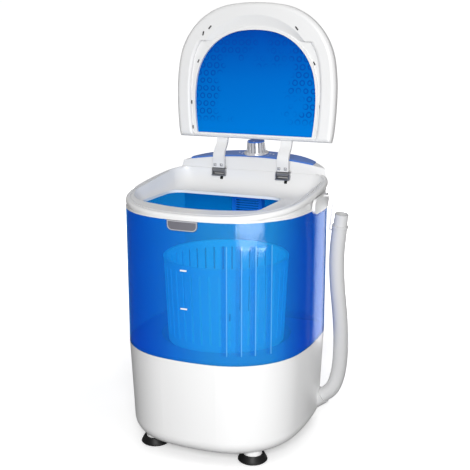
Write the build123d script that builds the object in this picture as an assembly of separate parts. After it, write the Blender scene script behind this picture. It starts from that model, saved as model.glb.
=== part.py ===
from build123d import *
import math
import os

# Mini washing machine. Millimetres, +Z up, front towards -Y.
# The origin is on the floor, on the axis of the spin basket.

os.makedirs("parts", exist_ok=True)

# Plan of the body: flat arcs for faces and sides, joined by corner arcs
half_width = 172.5
front_depth = 176.3
back_depth = 174.0
front_face_radius = 361.3
front_side_radius = 366.5
front_corner_radius = 136.1
back_face_radius = 713.5
back_side_radius = 717.1
back_corner_radius = 108.0

# Heights of the body
base_bottom = 20.0
seam_height = 195.3
shell_top = 446.9
rim_front_height = 456.7
rim_slope = 6.2
base_bottom_inset = 9.6
seam_inset = 1.2
base_edge_radius = 28.0

# Wall thicknesses and clearances
base_wall = 3.0
shell_wall = 2.5
frame_wall = 2.8
lid_wall = 2.6
seat_gap = 0.3
running_fit = 0.05

# Blocks that only cut: wider than the body, and the height that a slope cuts off again
beyond = 600.0
spare = 60.0

# Feet
front_foot = (half_width - 74.0, 70.1 - front_depth)
rear_foot = (half_width - 65.5, back_depth - 64.0)
foot_radius = 27.0
foot_height = 14.0
peg_radius = 17.0
peg_depth = 2.0

# Bottom cover
cover_inset = 61.0
cover_opening_inset = 76.0
cover_thickness = 2.5
cover_screw_radius = 2.0
vent_count = 7
vent_length = 90.0
vent_width = 5.0
vent_pitch = 15.0

# Tub floor, its well and the shaft hub
floor_thickness = 3.0
well_radius = 122.0
well_depth = 36.0
hub_radius = 19.0
hub_length = 41.0
hub_bore = 14.0
flute_radius = 5.0
flute_bottom = 213.0
flute_top = 407.0
flute_angles = (-67.6, -59.7, -52.1, -43.1)

# Shaft group
shaft_radius = 6.0
shaft_bottom = 55.0
shaft_top = 228.0
bearing_height = 11.0
seal_height = 7.0
pulsator_radius = 86.0
pulsator_gap = 3.0
pulsator_disc = 3.0
pulsator_ribs = 6
pulsator_rib_height = 9.0
pulsator_rib_width = 8.0
pulsator_rib_crest = 3.2
pulsator_rib_draft = 7.0
pulsator_rim = 5.0
pulsator_hub_radius = 18.0
basket_radius = 116.5
basket_base_radius = 109.0
basket_bottom = 182.0
basket_top = 350.0
basket_wall = 2.4
basket_rim = 3.2
basket_slots = 40
basket_slot_width = 4.0
basket_slot_bottom = 206.0
basket_slot_top = 336.0
basket_hub_radius = 17.0
basket_hub_top = 220.0
basket_hole_radius = 3.0
basket_hole_rings = ((50.0, 10), (80.0, 14))
nut_radius = 12.0

# Belt drive
motor_x = 84.5 - half_width
motor_radius = 40.0
motor_top = 134.0
motor_height = 56.0
motor_edge = 6.0
motor_shaft_end = 6.0
motor_shaft_radius = 4.0
pulley_bottom = 60.0
pulley_height = 12.0
drum_pulley_radius = 50.0
motor_pulley_radius = 14.0
groove_depth = 5.0
belt_height = 6.0
belt_thickness = 4.0
pulley_windows = 5
pulley_window_radius = 9.0
bracket_thickness = 3.0
bracket_margin = 12.0
post_radius = 7.0
outer_posts = (32.5 - half_width, 42.0)
inner_posts = (motor_x + 54.0, 60.0)
capacitor_place = (half_width - 56.5, -22.0)
capacitor_radius = 16.0
capacitor_height = 60.0
capacitor_pin_x = 6.0
capacitor_pin = (1.0, 5.0, 9.0)

# Rear duct wall and overflow filter
duct_front = back_depth - 50.0
duct_wall_thickness = 2.5
filter_left = -36.0
filter_right = 27.0
filter_bottom = 405.0
filter_height = 32.0
filter_depth = 14.0
filter_slots = 5

# Rim of the top frame
flange_height = 3.5
band_inset = 2.6
lip_height = 11.0
lip_radius = 4.5
groove_inset = 8.0
groove_width = 3.0
groove_cut = 2.2

# Basin between the rim and the tub's opening
basin_half = half_width - 15.5
basin_front = 36.3 - front_depth
basin_rear = back_depth - 53.0
basin_front_corner = 118.0
basin_bow = 12.0
basin_corner_start = 0.72
basin_corner_end = 0.62
ledge_half = half_width - 23.5
ledge_front = basin_front + 1.0
ledge_rear = basin_rear - 8.5
ledge_front_corner = 112.0
ledge_rear_corner = 30.0
ledge_front_height = 458.5
ledge_slope = 1.7
opening_middle = -17.0
opening_half = half_width - 57.5
opening_front = basin_front + 3.0
opening_rear = back_depth - 129.0
opening_front_corner = 88.0
opening_rear_corner = 26.0
opening_height = 455.0
collar_depth = 5.0

# Control housing and its panel
housing_foot = back_depth - 54.8
housing_foot_height = 478.3
housing_front_lean = 17.8
housing_top = 513.0
housing_half = half_width - 14.5
arch_radius = 850.0
shoulder_radius = 13.0
panel_thickness = 3.0
panel_front = housing_foot + 9.8
panel_middle = -5.0
panel_half = half_width - 44.5
panel_rear_inset = 3.5
panel_hook = 7.0
panel_hook_width = 3.0
panel_hook_depth = 2.4

# Timer and knob
knob_y = back_depth - 27.0
knob_flange_radius = 24.5
knob_flange_height = 2.6
knob_base_radius = 19.0
knob_top_radius = 17.0
knob_height = 24.0
knob_flutes = 14
knob_flute_radius = 1.6
knob_cap_height = 2.0
timer_shaft_radius = 3.0
timer_size = 44.0
timer_height = 26.0
timer_neck_radius = 7.0
timer_neck = 3.0
timer_drop = 3.5
timer_grip = 8.0
knob_closed_end = 4.0

# Hinges
pivot_y = back_depth - 55.0
pivot_z = 486.0
hinge_x = 67.0
arm_width = 23.0
arm_thickness = 6.0
barrel_radius = 5.0
pin_radius = 2.5
ear_gap = 0.7
ear_thickness = 2.2
clip_floor = 475.3
clip_plate = 2.2
clip_reach = 7.0
leaf_plate = 2.0
leaf_length = 22.0
recess_side_gap = 0.6
recess_front_gap = 1.5
recess_headroom = 2.0
arm_sweep = 18.0

# Lid, drawn in its own plane, which starts at the pivot
lid_lean = 2.0
lid_drop = 3.35
lid_depth = 24.0
lid_inset = 8.3
lid_centre = pivot_y + 35.2
lid_rear = 63.0
lid_edge_radius = 9.0
lid_roll = 30.0
lid_roll_soft = 5.0
lid_pocket = 7.0
lid_pocket_rear = lid_rear + 6.0
scoop_rear = lid_centre + 95.8
scoop_half = 102.0
scoop_front = lid_centre + 144.8
scoop_floor_half = 90.0
scoop_floor_front = lid_centre + 124.2
lid_split = 12.4
window_half = half_width - 47.5
window_front = front_depth - 45.3
window_centre = lid_centre - 14.2
window_back = window_centre - lid_rear - 9.0
window_rear_half = window_half - 5.5
window_waist = 1.4
window_face_radius = 206.7
window_side_radius = 213.0
window_corner_radius = 108.2
window_lip = 5.0
window_lip_height = 2.5
collar_ring = 4.0
arm_seat = 4.5
clip_slot_length = 7.0
clip_slot_width = 3.0

# Badge plate
badge_half = 28.5
badge_x = -3.0
badge_height = 17.5
badge_thickness = 2.2
badge_corner = 9.0

# Hose, its hook and its outlet
hose_radius = 14.0
hose_bore = 11.0
hose_points = (
    (half_width + 33.8, 41.5, 409.0),
    (half_width + 29.8, 43.5, 381.0),
    (half_width + 27.5, 47.0, 343.0),
    (half_width + 28.5, 51.5, 298.0),
    (half_width + 32.1, 57.0, 254.0),
    (half_width + 34.1, 63.5, 208.0),
    (half_width + 32.5, 71.0, 165.0),
    (half_width + 28.5, 77.0, 124.5),
    (half_width + 19.8, 79.5, 91.8),
    (half_width + 8.5, 80.0, 75.4),
    (half_width - 2.9, 80.0, 67.4),
)
spout_radius = 12.6
spout_tip = (half_width + 39.5, 40.0, 435.0)
spout_wall = 1.8
spout_collar = 5.0
outlet_x = half_width - 12.1
outlet_y = 80.0
outlet_height = 61.0
outlet_rise = 35.0
outlet_flange_radius = 17.0
outlet_flange = 11.1
outlet_reach = 18.0
outlet_radius = 10.7
outlet_bore = 8.0
outlet_root = 15.0
outlet_inside = 24.0
drain_x = 80.0
drain_bend = 20.0
hook_front = -15.0
hook_rear = 76.0
hook_low = 6.5
hook_height = 27.0
hook_thickness = 5.5
hook_corner = 12.5
rod_radius = 1.9
rod_y = 41.0
rod_top = 466.0
rod_top_x = half_width + 20.5
rod_bottom = 404.7
rod_bottom_x = half_width + 14.5
rod_foot = 4.2

# Cord gland and wiring
gland_x = -90.0
gland_y = back_depth - 14.4
gland_z = 62.0
gland_radius = 6.0
gland_bore = 3.5
gland_flange = 9.0
gland_head = 4.0
gland_length = 10.0
harness_radius = 3.0
harness_x = -40.0
harness_top = 470.0
harness_turn = 150.0
harness_step = (-20.0, -22.0, -30.0)
harness_lead = 14.0


def quadrant(half, depth, face_radius, side_radius, corner_radius):
    """Join points and arc middles of one plan quadrant, with both axes positive."""
    face = Vector(0, depth - face_radius)
    side = Vector(half - side_radius, 0)
    near = face_radius - corner_radius
    far = side_radius - corner_radius
    span = (side - face).length
    unit = (side - face).normalized()
    along = (near**2 - far**2 + span**2) / (2 * span)
    across = math.sqrt(near**2 - along**2)
    left = Vector(-unit.Y, unit.X)
    corners = [face + unit * along + left * side_of * across for side_of in (1, -1)]
    corner = max(corners, key=lambda point: point.X + point.Y)
    on_face = face + (corner - face).normalized() * face_radius
    on_side = side + (corner - side).normalized() * side_radius
    middle = ((on_face - corner).normalized() + (on_side - corner).normalized()).normalized()
    on_corner = corner + middle * corner_radius
    turn = math.atan2(on_side.Y - side.Y, on_side.X - side.X) / 2
    on_flank = side + Vector(math.cos(turn), math.sin(turn)) * side_radius
    return on_face, on_corner, on_side, on_flank


def front_quadrant(inset):
    return quadrant(
        half_width - inset,
        front_depth - inset,
        front_face_radius - inset,
        front_side_radius - inset,
        front_corner_radius - inset,
    )


def back_quadrant(inset):
    return quadrant(
        half_width - inset,
        back_depth - inset,
        back_face_radius - inset,
        back_side_radius - inset,
        back_corner_radius - inset,
    )


def half_outline(points, end_depth, half, way):
    """Arcs from the +X side point round one end to the -X side point."""
    on_face, on_corner, on_side, on_flank = points
    right = [(half, 0)]
    right += [(point.X, way * point.Y) for point in (on_flank, on_side, on_corner, on_face)]
    left = [(-x, y) for x, y in reversed(right)]
    path = right + [(0, way * end_depth)] + left
    arcs = []
    for start in range(0, len(path) - 2, 2):
        arcs.append(ThreePointArc(path[start], path[start + 1], path[start + 2]))
    return arcs


def plan_face(inset):
    """The body's plan, drawn in by inset on every side."""
    half = half_width - inset
    front = half_outline(front_quadrant(inset), front_depth - inset, half, -1)
    back = half_outline(back_quadrant(inset), back_depth - inset, half, 1)
    return make_face(Curve() + front + back)


def tapered(low_inset, low, high_inset, high):
    """Solid between two plans at two heights."""
    return loft([Pos(0, 0, low) * plan_face(low_inset), Pos(0, 0, high) * plan_face(high_inset)], ruled=True)


def prism(inset, low, high):
    return Pos(0, 0, low) * extrude(plan_face(inset), high - low)


def tube(outer, inner, length):
    return extrude(Circle(outer) - Circle(inner), length)


def seam_taper(height):
    """Inset of the shell's outer face at a height."""
    return seam_inset * (shell_top - height) / (shell_top - seam_height)


def rim_height(y):
    return rim_front_height + (y + front_depth) * math.tan(math.radians(rim_slope))


def save(shape, name, colour):
    shape.label = name
    shape.color = Color(*colour)
    export_step(shape, "parts/" + name + ".step")
    return shape


RIM = Plane(
    origin=(0, 0, rim_height(0)),
    x_dir=(1, 0, 0),
    z_dir=(0, -math.sin(math.radians(rim_slope)), math.cos(math.radians(rim_slope))),
)
LID = Plane(
    origin=(0, pivot_y, pivot_z),
    x_dir=(1, 0, 0),
    z_dir=(0, -math.cos(math.radians(lid_lean)), math.sin(math.radians(lid_lean))),
)

WHITE = (0.93, 0.93, 0.93)
BLUE = (0.05, 0.35, 0.85)
GREY = (0.6, 0.6, 0.62)
DARK = (0.08, 0.08, 0.08)
STEEL = (0.7, 0.7, 0.72)


# Lower housing
def base_form(inset, bottom):
    """Tapered block with its rounded bottom edge."""
    block = tapered(base_bottom_inset + inset, bottom, seam_inset + inset, seam_height)
    edges = block.faces().sort_by(Axis.Z)[0].edges()
    return fillet(edges, base_edge_radius - inset)


def foot_places():
    return [(side * x, y) for side in (-1, 1) for x, y in (front_foot, rear_foot)]


def cover_screw_places():
    """Points around the bottom opening, half way across the cover's flange."""
    middle = (cover_inset + cover_opening_inset) / 2
    side = half_width - middle
    end = front_depth - middle
    return [(side, 0), (-side, 0), (0, end), (0, -end)]


def make_base_housing():
    outer = base_form(0, base_bottom)
    for x, y in foot_places():
        outer += Pos(x, y, foot_height - peg_depth) * extrude(Circle(peg_radius), base_edge_radius)
    cavity = base_form(base_wall, base_bottom + base_wall)
    cavity += prism(cover_opening_inset, 0, seam_height)
    housing = outer - cavity
    for x, y in cover_screw_places():
        housing -= Pos(x, y, 0) * screw_hole()
    housing -= outlet_hole()
    housing -= gland_hole()
    return housing


def outlet_axis():
    """Plane across the outlet's nipple where it leaves the wall."""
    rise = math.radians(outlet_rise)
    return Plane(
        origin=(outlet_x, outlet_y, outlet_height),
        x_dir=(0, 1, 0),
        z_dir=(math.cos(rise), 0, math.sin(rise)),
    )


def outlet_hole():
    across = Plane(origin=(0, outlet_y, outlet_height), x_dir=(0, 1, 0), z_dir=(1, 0, 0))
    return across * extrude(Circle(outlet_radius + 3), half_width)


def gland_axis():
    """Plane across the gland at the housing's rear wall."""
    return Plane(origin=(gland_x, gland_y, gland_z), x_dir=(1, 0, 0), z_dir=(0, 1, 0))


def gland_hole():
    hole = Pos(0, 0, -gland_length) * extrude(Circle(gland_radius + running_fit), gland_length * 2)
    return gland_axis() * hole


def make_cord_gland():
    """Rubber bush for the mains cord, flanged outside the wall."""
    plug = Pos(0, 0, -gland_length) * tube(gland_radius, gland_bore, gland_length + gland_head)
    head = Pos(0, 0, -gland_length) * tube(gland_flange, gland_radius, gland_length + gland_head)
    return (gland_axis() * plug) + ((gland_axis() * head) - base_form(0, base_bottom))


def make_bottom_cover():
    plate = prism(cover_inset, base_bottom - cover_thickness, base_bottom)
    for place in range(vent_count):
        across = (place - (vent_count - 1) / 2) * vent_pitch
        plate -= Pos(0, across, 0) * extrude(SlotOverall(vent_length, vent_width), base_bottom * 2)
    for x, y in cover_screw_places():
        plate -= Pos(x, y, 0) * screw_hole()
    return plate


def screw_hole():
    """Clearance hole up from the floor, also used for the motor bracket's screws."""
    return extrude(Circle(cover_screw_radius + seat_gap), base_bottom * 2)


def screw(radius, length, head_radius, head_height):
    """Pan-head screw with its head below z = 0 and its shank above."""
    head = Pos(0, 0, -head_height) * extrude(Circle(head_radius), head_height)
    head = fillet(head.edges().sort_by(Axis.Z)[0], head_height * 0.6)
    return head + extrude(Circle(radius), length)


def make_cover_screws():
    screws = []
    for x, y in cover_screw_places():
        piece = screw(cover_screw_radius, base_wall + cover_thickness + 4, cover_screw_radius * 2, 1.8)
        screws.append(Pos(x, y, base_bottom - cover_thickness) * piece)
    return Compound(children=screws)


def make_foot():
    """Flared rubber foot with a seat for the housing's peg."""
    seat = foot_height - peg_depth
    profile = Polyline(
        (0, 0),
        (foot_radius - 3, 0),
        (foot_radius, 3),
        (foot_radius - 1, 6),
        (peg_radius + 4.5, foot_height),
        (peg_radius + seat_gap, foot_height),
        (peg_radius + seat_gap, seat),
        (0, seat),
        close=True,
    )
    return revolve(Plane.XZ * make_face(profile), Axis.Z)


# Tub shell
def tub_inside(low, high, gap):
    """Space inside the shell's wall, drawn in by a gap."""
    return tapered(seam_taper(low) + shell_wall + gap, low, seam_taper(high) + shell_wall + gap, high)


def make_flutes():
    """Half-round ribs on the inner wall at the front right."""
    ribs = []
    for angle in flute_angles:
        direction = Vector(math.cos(math.radians(angle)), math.sin(math.radians(angle)))
        wall = prism(shell_wall + seam_inset, 0, 1)
        reach = wall_reach(wall, direction)
        rib = Pos(direction.X * reach, direction.Y * reach, flute_bottom)
        ribs.append(rib * extrude(Circle(flute_radius), flute_top - flute_bottom - flute_radius))
        ribs.append(Pos(0, 0, flute_top - flute_bottom - flute_radius) * rib * Sphere(flute_radius))
    return ribs


def wall_reach(wall, direction):
    """Distance from the axis to the wall along a direction."""
    ray = Edge.make_line((0, 0, 0.5), (direction.X * beyond, direction.Y * beyond, 0.5))
    return wall.intersect(ray).edges()[0].length


def make_tub_shell():
    floor_top = seam_height + floor_thickness
    outer = tapered(seam_inset, seam_height, 0, shell_top)
    shell = outer - tub_inside(floor_top, shell_top, 0)
    well_floor = floor_top - well_depth
    cup = Pos(0, 0, well_floor - floor_thickness) * extrude(
        Circle(well_radius + shell_wall), well_depth
    )
    hub = Pos(0, 0, well_floor - hub_length) * extrude(Circle(hub_radius), hub_length)
    shell += cup
    shell -= Pos(0, 0, well_floor) * extrude(Circle(well_radius), well_depth * 2)
    shell += hub
    shell -= Pos(0, 0, well_floor - hub_length) * extrude(Circle(hub_bore), hub_length * 2)
    for x, y in post_places():
        start = motor_top + bracket_thickness
        shell += Pos(x, y, start) * extrude(Circle(post_radius), post_top(x, y) - start)
    for rib in make_flutes():
        shell += rib & outer
    drain = extrude(Circle(outlet_bore), well_depth / 2)
    shell -= Pos(drain_x, outlet_y, well_floor - floor_thickness) * drain
    shell -= Pos(harness_x, duct_dry_y(), 0) * extrude(Circle(harness_radius + 1), shell_top)
    return shell


def post_places():
    """The four posts under the tub floor that carry the motor bracket."""
    return [(x, side * y) for x, y in (outer_posts, inner_posts) for side in (1, -1)]


def post_top(x, y):
    """Underside of the tub floor over a post, in the well or beside it."""
    if math.hypot(x, y) < well_radius:
        return seam_height - well_depth
    return seam_height


def duct_dry_y():
    return (duct_front + duct_wall_thickness + back_depth) / 2


def make_duct_wall():
    floor_top = seam_height + floor_thickness
    inside = tub_inside(floor_top, shell_top, seat_gap)
    middle = duct_front + duct_wall_thickness / 2
    slab = Pos(0, middle, floor_top + (shell_top - floor_top) / 2)
    return inside & (slab * Box(half_width * 3, duct_wall_thickness, shell_top - floor_top))


def make_overflow_filter():
    """Grille box on the duct wall, open at the back."""
    width = filter_right - filter_left
    block = Box(width, filter_depth, filter_height)
    block = fillet(block.edges().filter_by(Axis.Y), 4)
    hollow = Pos(0, 2, 0) * Box(width - 5, filter_depth, filter_height - 5)
    block -= hollow
    pitch = (filter_height - 8) / filter_slots
    for place in range(filter_slots):
        across = (place - (filter_slots - 1) / 2) * pitch
        block -= Pos(0, 0, across) * Box(width - 14, filter_depth * 2, pitch / 2)
    centre = (filter_left + filter_right) / 2
    return Pos(centre, duct_front - filter_depth / 2, filter_bottom + filter_height / 2) * block


# Shaft group
def well_floor_height():
    return seam_height + floor_thickness - well_depth


def hub_bottom():
    return well_floor_height() - hub_length


def make_drive_shaft():
    return Pos(0, 0, shaft_bottom) * extrude(Circle(shaft_radius), shaft_top - shaft_bottom)


def make_bearing(bottom):
    ring = tube(hub_bore - running_fit, shaft_radius + running_fit, bearing_height)
    return Pos(0, 0, bottom) * ring


def make_shaft_seal():
    bottom = well_floor_height() - seal_height
    return Pos(0, 0, bottom) * tube(hub_bore - running_fit, shaft_radius + running_fit, seal_height)


def make_pulsator():
    """Dished disc with radial ribs and a hub."""
    bottom = well_floor_height() + pulsator_gap
    top = basket_bottom - seat_gap
    profile = Polyline(
        (shaft_radius + running_fit, bottom),
        (pulsator_radius, bottom),
        (pulsator_radius, bottom + pulsator_rim),
        (pulsator_radius - 3, bottom + pulsator_rim),
        (pulsator_radius - 3 - pulsator_disc, bottom + pulsator_disc),
        (pulsator_hub_radius + 6, bottom + pulsator_disc + 1.5),
        (pulsator_hub_radius, top),
        (shaft_radius + running_fit, top),
        close=True,
    )
    disc = revolve(Plane.XZ * make_face(profile), Axis.Z)
    for place in range(pulsator_ribs):
        length = pulsator_radius - 6 - pulsator_hub_radius
        low = Rectangle(length, pulsator_rib_width)
        crest = Rectangle(length - 2 * pulsator_rib_draft, pulsator_rib_crest)
        high = Pos(0, 0, pulsator_rib_height) * crest
        rib = loft([low, high])
        start = Pos(pulsator_hub_radius + length / 2, 0, bottom + pulsator_disc - 0.5)
        disc += Rot(0, 0, place * 360 / pulsator_ribs) * start * rib
    return disc


def make_basket_slots():
    height = basket_slot_top - basket_slot_bottom
    middle = (basket_slot_top + basket_slot_bottom) / 2
    reach = basket_radius + basket_rim - basket_base_radius + 2 * basket_wall
    cutter = Pos(basket_radius, 0, middle) * Box(reach * 2, basket_slot_width, height)
    return [Rot(0, 0, place * 360 / basket_slots) * cutter for place in range(basket_slots)]


def make_spin_basket():
    """Tapered basket with a rolled rim, slotted wall, pierced floor and hub."""
    inner = basket_radius - basket_wall
    profile = Polyline(
        (shaft_radius + running_fit, basket_bottom),
        (basket_base_radius - 8, basket_bottom),
        (basket_base_radius, basket_bottom + 8),
        (basket_radius, basket_top - basket_rim),
        (basket_radius + 1, basket_top - 1),
        (basket_radius, basket_top),
        (inner - 2, basket_top),
        (inner - 3, basket_top - 1),
        (inner, basket_top - basket_rim),
        (basket_base_radius - basket_wall, basket_bottom + 9),
        (basket_base_radius - 9, basket_bottom + basket_wall),
        (basket_hub_radius + 5, basket_bottom + basket_wall),
        (basket_hub_radius - 2, basket_hub_top),
        (shaft_radius + running_fit, basket_hub_top),
        close=True,
    )
    basket = revolve(Plane.XZ * make_face(profile), Axis.Z)
    basket -= make_basket_slots()
    holes = []
    for ring_radius, count in basket_hole_rings:
        for place in range(count):
            spot = Rot(0, 0, place * 360 / count) * Pos(ring_radius, 0, basket_bottom - 1)
            holes.append(spot * extrude(Circle(basket_hole_radius), basket_wall * 3))
    return basket - holes


def make_basket_nut():
    bottom = basket_hub_top
    nut = extrude(RegularPolygon(nut_radius, 6), shaft_top - bottom)
    dome = Pos(0, 0, shaft_top - bottom) * extrude(Circle(nut_radius * 0.8), 3)
    dome = fillet(dome.edges().sort_by(Axis.Z)[-1], 2)
    bore = extrude(Circle(shaft_radius + running_fit), shaft_top - bottom)
    return Pos(0, 0, bottom) * (nut + dome - bore)


# Belt drive
def pulley_profile(radius, bore):
    """Half section of a pulley with one flat-bottomed groove."""
    low = pulley_bottom
    high = pulley_bottom + pulley_height
    middle = (low + high) / 2
    mouth = belt_height / 2 + seat_gap + 1
    return Polyline(
        (bore, low),
        (radius, low),
        (radius, middle - mouth),
        (radius - groove_depth, middle - mouth + 1),
        (radius - groove_depth, middle + mouth - 1),
        (radius, middle + mouth),
        (radius, high),
        (bore, high),
        close=True,
    )


def make_drum_pulley():
    wheel = revolve(
        Plane.XZ * make_face(pulley_profile(drum_pulley_radius, shaft_radius + running_fit)), Axis.Z
    )
    window = Pos((drum_pulley_radius + hub_radius - groove_depth) / 2, 0, pulley_bottom)
    for place in range(pulley_windows):
        turn = Rot(0, 0, place * 360 / pulley_windows)
        wheel -= turn * window * extrude(Circle(pulley_window_radius), pulley_height)
    return wheel


def make_motor_pulley():
    profile = pulley_profile(motor_pulley_radius, motor_shaft_radius + running_fit)
    return Pos(motor_x, 0, 0) * revolve(Plane.XZ * make_face(profile), Axis.Z)


def belt_loop(extra):
    """Outline around both grooves, grown by extra."""
    drum = Circle(drum_pulley_radius - groove_depth + extra)
    motor = Pos(motor_x, 0) * Circle(motor_pulley_radius - groove_depth + extra)
    return make_hull((drum + motor).edges())


def make_drive_belt():
    ring = belt_loop(seat_gap + belt_thickness) - belt_loop(seat_gap)
    low = pulley_bottom + (pulley_height - belt_height) / 2
    return Pos(0, 0, low) * extrude(ring, belt_height)


def make_motor_body():
    body = extrude(Circle(motor_radius), motor_height)
    body = fillet(body.edges().sort_by(Axis.Z)[0], motor_edge)
    body -= extrude(Circle(motor_shaft_radius + running_fit), motor_height)
    return Pos(motor_x, 0, motor_top - motor_height) * body


def make_motor_shaft():
    length = motor_top - motor_shaft_end - pulley_bottom
    return Pos(motor_x, 0, pulley_bottom) * extrude(Circle(motor_shaft_radius), length)


def make_motor_bracket():
    left = min(x for x, y in post_places()) - bracket_margin
    right = max(x for x, y in post_places()) + bracket_margin
    depth = 2 * (max(y for x, y in post_places()) + bracket_margin)
    plate = Rectangle(right - left, depth)
    plate = fillet(plate.vertices(), bracket_margin)
    solid = Pos((left + right) / 2, 0, motor_top) * extrude(plate, bracket_thickness)
    for x, y in post_places():
        solid -= Pos(x, y, motor_top) * screw_hole()
    return solid


def make_bracket_screws():
    screws = []
    for x, y in post_places():
        piece = screw(cover_screw_radius, bracket_thickness - 0.2, cover_screw_radius * 2, 2.2)
        screws.append(Pos(x, y, motor_top) * piece)
    return Compound(children=screws)


def make_capacitor():
    x, y = capacitor_place
    can = extrude(Circle(capacitor_radius), capacitor_height)
    can = fillet(can.edges().sort_by(Axis.Z)[-1], 3)
    pin = Box(*capacitor_pin, align=(Align.CENTER, Align.CENTER, Align.MIN))
    pins = [Pos(side * capacitor_pin_x, 0, capacitor_height) * pin for side in (-1, 1)]
    return Pos(x, y, base_bottom + base_wall) * (can + pins)


# Top frame
def outline_below(plane, middle, half, front, rear, front_radius, rear_radius):
    """Basin outline: straight rear and sides, round corners and a bowed front."""
    bow = basin_bow
    right = middle + half
    left = middle - half
    corner_y = front + bow + front_radius * basin_corner_start
    inset = front_radius * basin_corner_end
    points = [
        Line((left + rear_radius, rear), (right - rear_radius, rear)),
        RadiusArc((right - rear_radius, rear), (right, rear - rear_radius), rear_radius),
        Line((right, rear - rear_radius), (right, corner_y)),
        TangentArc((right, corner_y), (right - inset, front + bow), tangent=(0, -1)),
        ThreePointArc((right - inset, front + bow), (middle, front), (left + inset, front + bow)),
        TangentArc((left, corner_y), (left + inset, front + bow), tangent=(0, -1)),
        Line((left, rear - rear_radius), (left, corner_y)),
        RadiusArc((left, rear - rear_radius), (left + rear_radius, rear), rear_radius),
    ]
    return plane * make_face(Curve() + points)


def basin_sections(grow):
    """Rim, ledge and opening outlines, grown by a wall's thickness."""
    ledge = Plane(
        origin=(0, 0, ledge_front_height - ledge_front * math.tan(math.radians(ledge_slope)) - grow),
        x_dir=(1, 0, 0),
        z_dir=(0, -math.sin(math.radians(ledge_slope)), math.cos(math.radians(ledge_slope))),
    )
    opening = Plane(origin=(0, 0, opening_height - grow), z_dir=(0, 0, 1))
    rim = RIM.offset(0.5 - grow)
    top = outline_below(
        rim,
        0,
        basin_half + grow,
        basin_front - grow,
        basin_rear + grow,
        basin_front_corner,
        ledge_rear_corner,
    )
    middle = outline_below(
        ledge,
        0,
        ledge_half + grow,
        ledge_front - grow,
        ledge_rear + grow,
        ledge_front_corner,
        ledge_rear_corner,
    )
    bottom = outline_below(
        opening,
        opening_middle,
        opening_half + grow,
        opening_front - grow,
        opening_rear + grow,
        opening_front_corner,
        opening_rear_corner,
    )
    return top, middle, bottom


def basin(grow):
    """The space from the rim down through the tub's opening."""
    top, middle, bottom = basin_sections(grow)
    bowl = loft([bottom, middle, top])
    neck_low = opening_height - collar_depth + (0 if grow else -20)
    neck = extrude(bottom, -(opening_height - grow - neck_low))
    return bowl + neck


def rim_slab(low, high):
    """Wide slab between two heights measured from the rim's plane."""
    return RIM * Pos(0, 0, (low + high) / 2) * Box(beyond, beyond, high - low)


def rim_band():
    """Outer band: flange, recessed wall and rolled lip, with the groove on top."""
    top = rim_height(back_depth) + spare
    under = shell_top - spare
    flange = prism(0, shell_top, shell_top + flange_height)
    wall = prism(band_inset, shell_top, top) & rim_slab(-beyond, -lip_height / 2)
    lip = prism(0, under, top) & rim_slab(-lip_height, 0)
    rings = lip.faces().sort_by(Axis.Z)[-1].edges()
    lip = fillet(rings, lip_radius)
    lip = lip & prism(-lip_radius, shell_top, top)
    groove = prism(groove_inset, under, top) - prism(groove_inset + groove_width, under, top)
    groove = groove & rim_slab(-groove_cut, lip_height)
    return flange + wall + lip - groove


def arch_form(drop, inset):
    """Arched block under the housing's top, lowered and drawn in."""
    half = housing_half - inset
    top = housing_top - drop
    radius = arch_radius - drop
    sag = radius - math.sqrt(radius**2 - half**2)
    lines = [
        ThreePointArc((-half, top - sag), (0, top), (half, top - sag)),
        Line((half, top - sag), (half, shell_top)),
        Line((half, shell_top), (-half, shell_top)),
        Line((-half, shell_top), (-half, top - sag)),
    ]
    face = make_face(Curve() + lines)
    corners = face.vertices().sort_by(Axis.Y)[-2:]
    face = fillet(corners, shoulder_radius - inset)
    start = Plane(origin=(0, housing_foot, 0), x_dir=(1, 0, 0), z_dir=(0, -1, 0))
    lean = (0, math.cos(math.radians(rim_slope)), math.sin(math.radians(rim_slope)))
    return extrude(start * face, amount=half_width / 2, dir=lean)


def front_wedge(inset):
    """Everything behind the housing's leaning front."""
    lean = math.radians(housing_front_lean)
    plane = Plane(
        origin=(0, housing_foot, housing_foot_height),
        x_dir=(1, 0, 0),
        z_dir=(0, math.cos(lean), -math.sin(lean)),
    )
    return plane * Pos(0, 0, beyond / 2 + inset) * Box(beyond, beyond, beyond)


def housing_form(inset):
    """The raised control housing at the rear."""
    plan = prism(inset, shell_top, housing_top + spare)
    return plan & arch_form(inset, inset) & front_wedge(inset)


def clip_width():
    """Width of a hinge over its two ears."""
    return arm_width + 2 * (ear_gap + ear_thickness)


def hinge_recess(side, wall):
    """Pocket in the housing's foot for one hinge, grown by the thickness of its wall."""
    width = clip_width() + 2 * (recess_side_gap + wall)
    depth = 2 * (clip_reach + recess_front_gap + wall)
    low = clip_floor - wall
    high = pivot_z + barrel_radius + recess_headroom + wall
    box = Box(width, depth, high - low, align=(Align.CENTER, Align.CENTER, Align.MIN))
    return Pos(side * hinge_x, pivot_y, low) * box


def make_top_frame():
    outer = rim_band() + housing_form(0)
    under_rim = rim_slab(-beyond, -frame_wall)
    cavity = prism(band_inset + frame_wall, shell_top - 1, housing_top) & under_rim
    cavity -= basin(frame_wall)
    cavity += housing_form(frame_wall) & prism(frame_wall + band_inset, shell_top, housing_top + spare)
    for side in (-1, 1):
        cavity -= hinge_recess(side, frame_wall)
    frame = outer - cavity - basin(0)
    for side in (-1, 1):
        frame -= hinge_recess(side, 0)
    return frame - timer_hole()


# Control panel and timer
def panel_surface_height():
    """Height of the panel's top on the centre line at the knob."""
    rise = (knob_y - housing_foot) * math.tan(math.radians(rim_slope))
    return housing_top + rise + panel_thickness


def knob_plane():
    return Plane(
        origin=(0, knob_y, panel_surface_height()),
        x_dir=(1, 0, 0),
        z_dir=(0, -math.sin(math.radians(rim_slope)), math.cos(math.radians(rim_slope))),
    )


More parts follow.
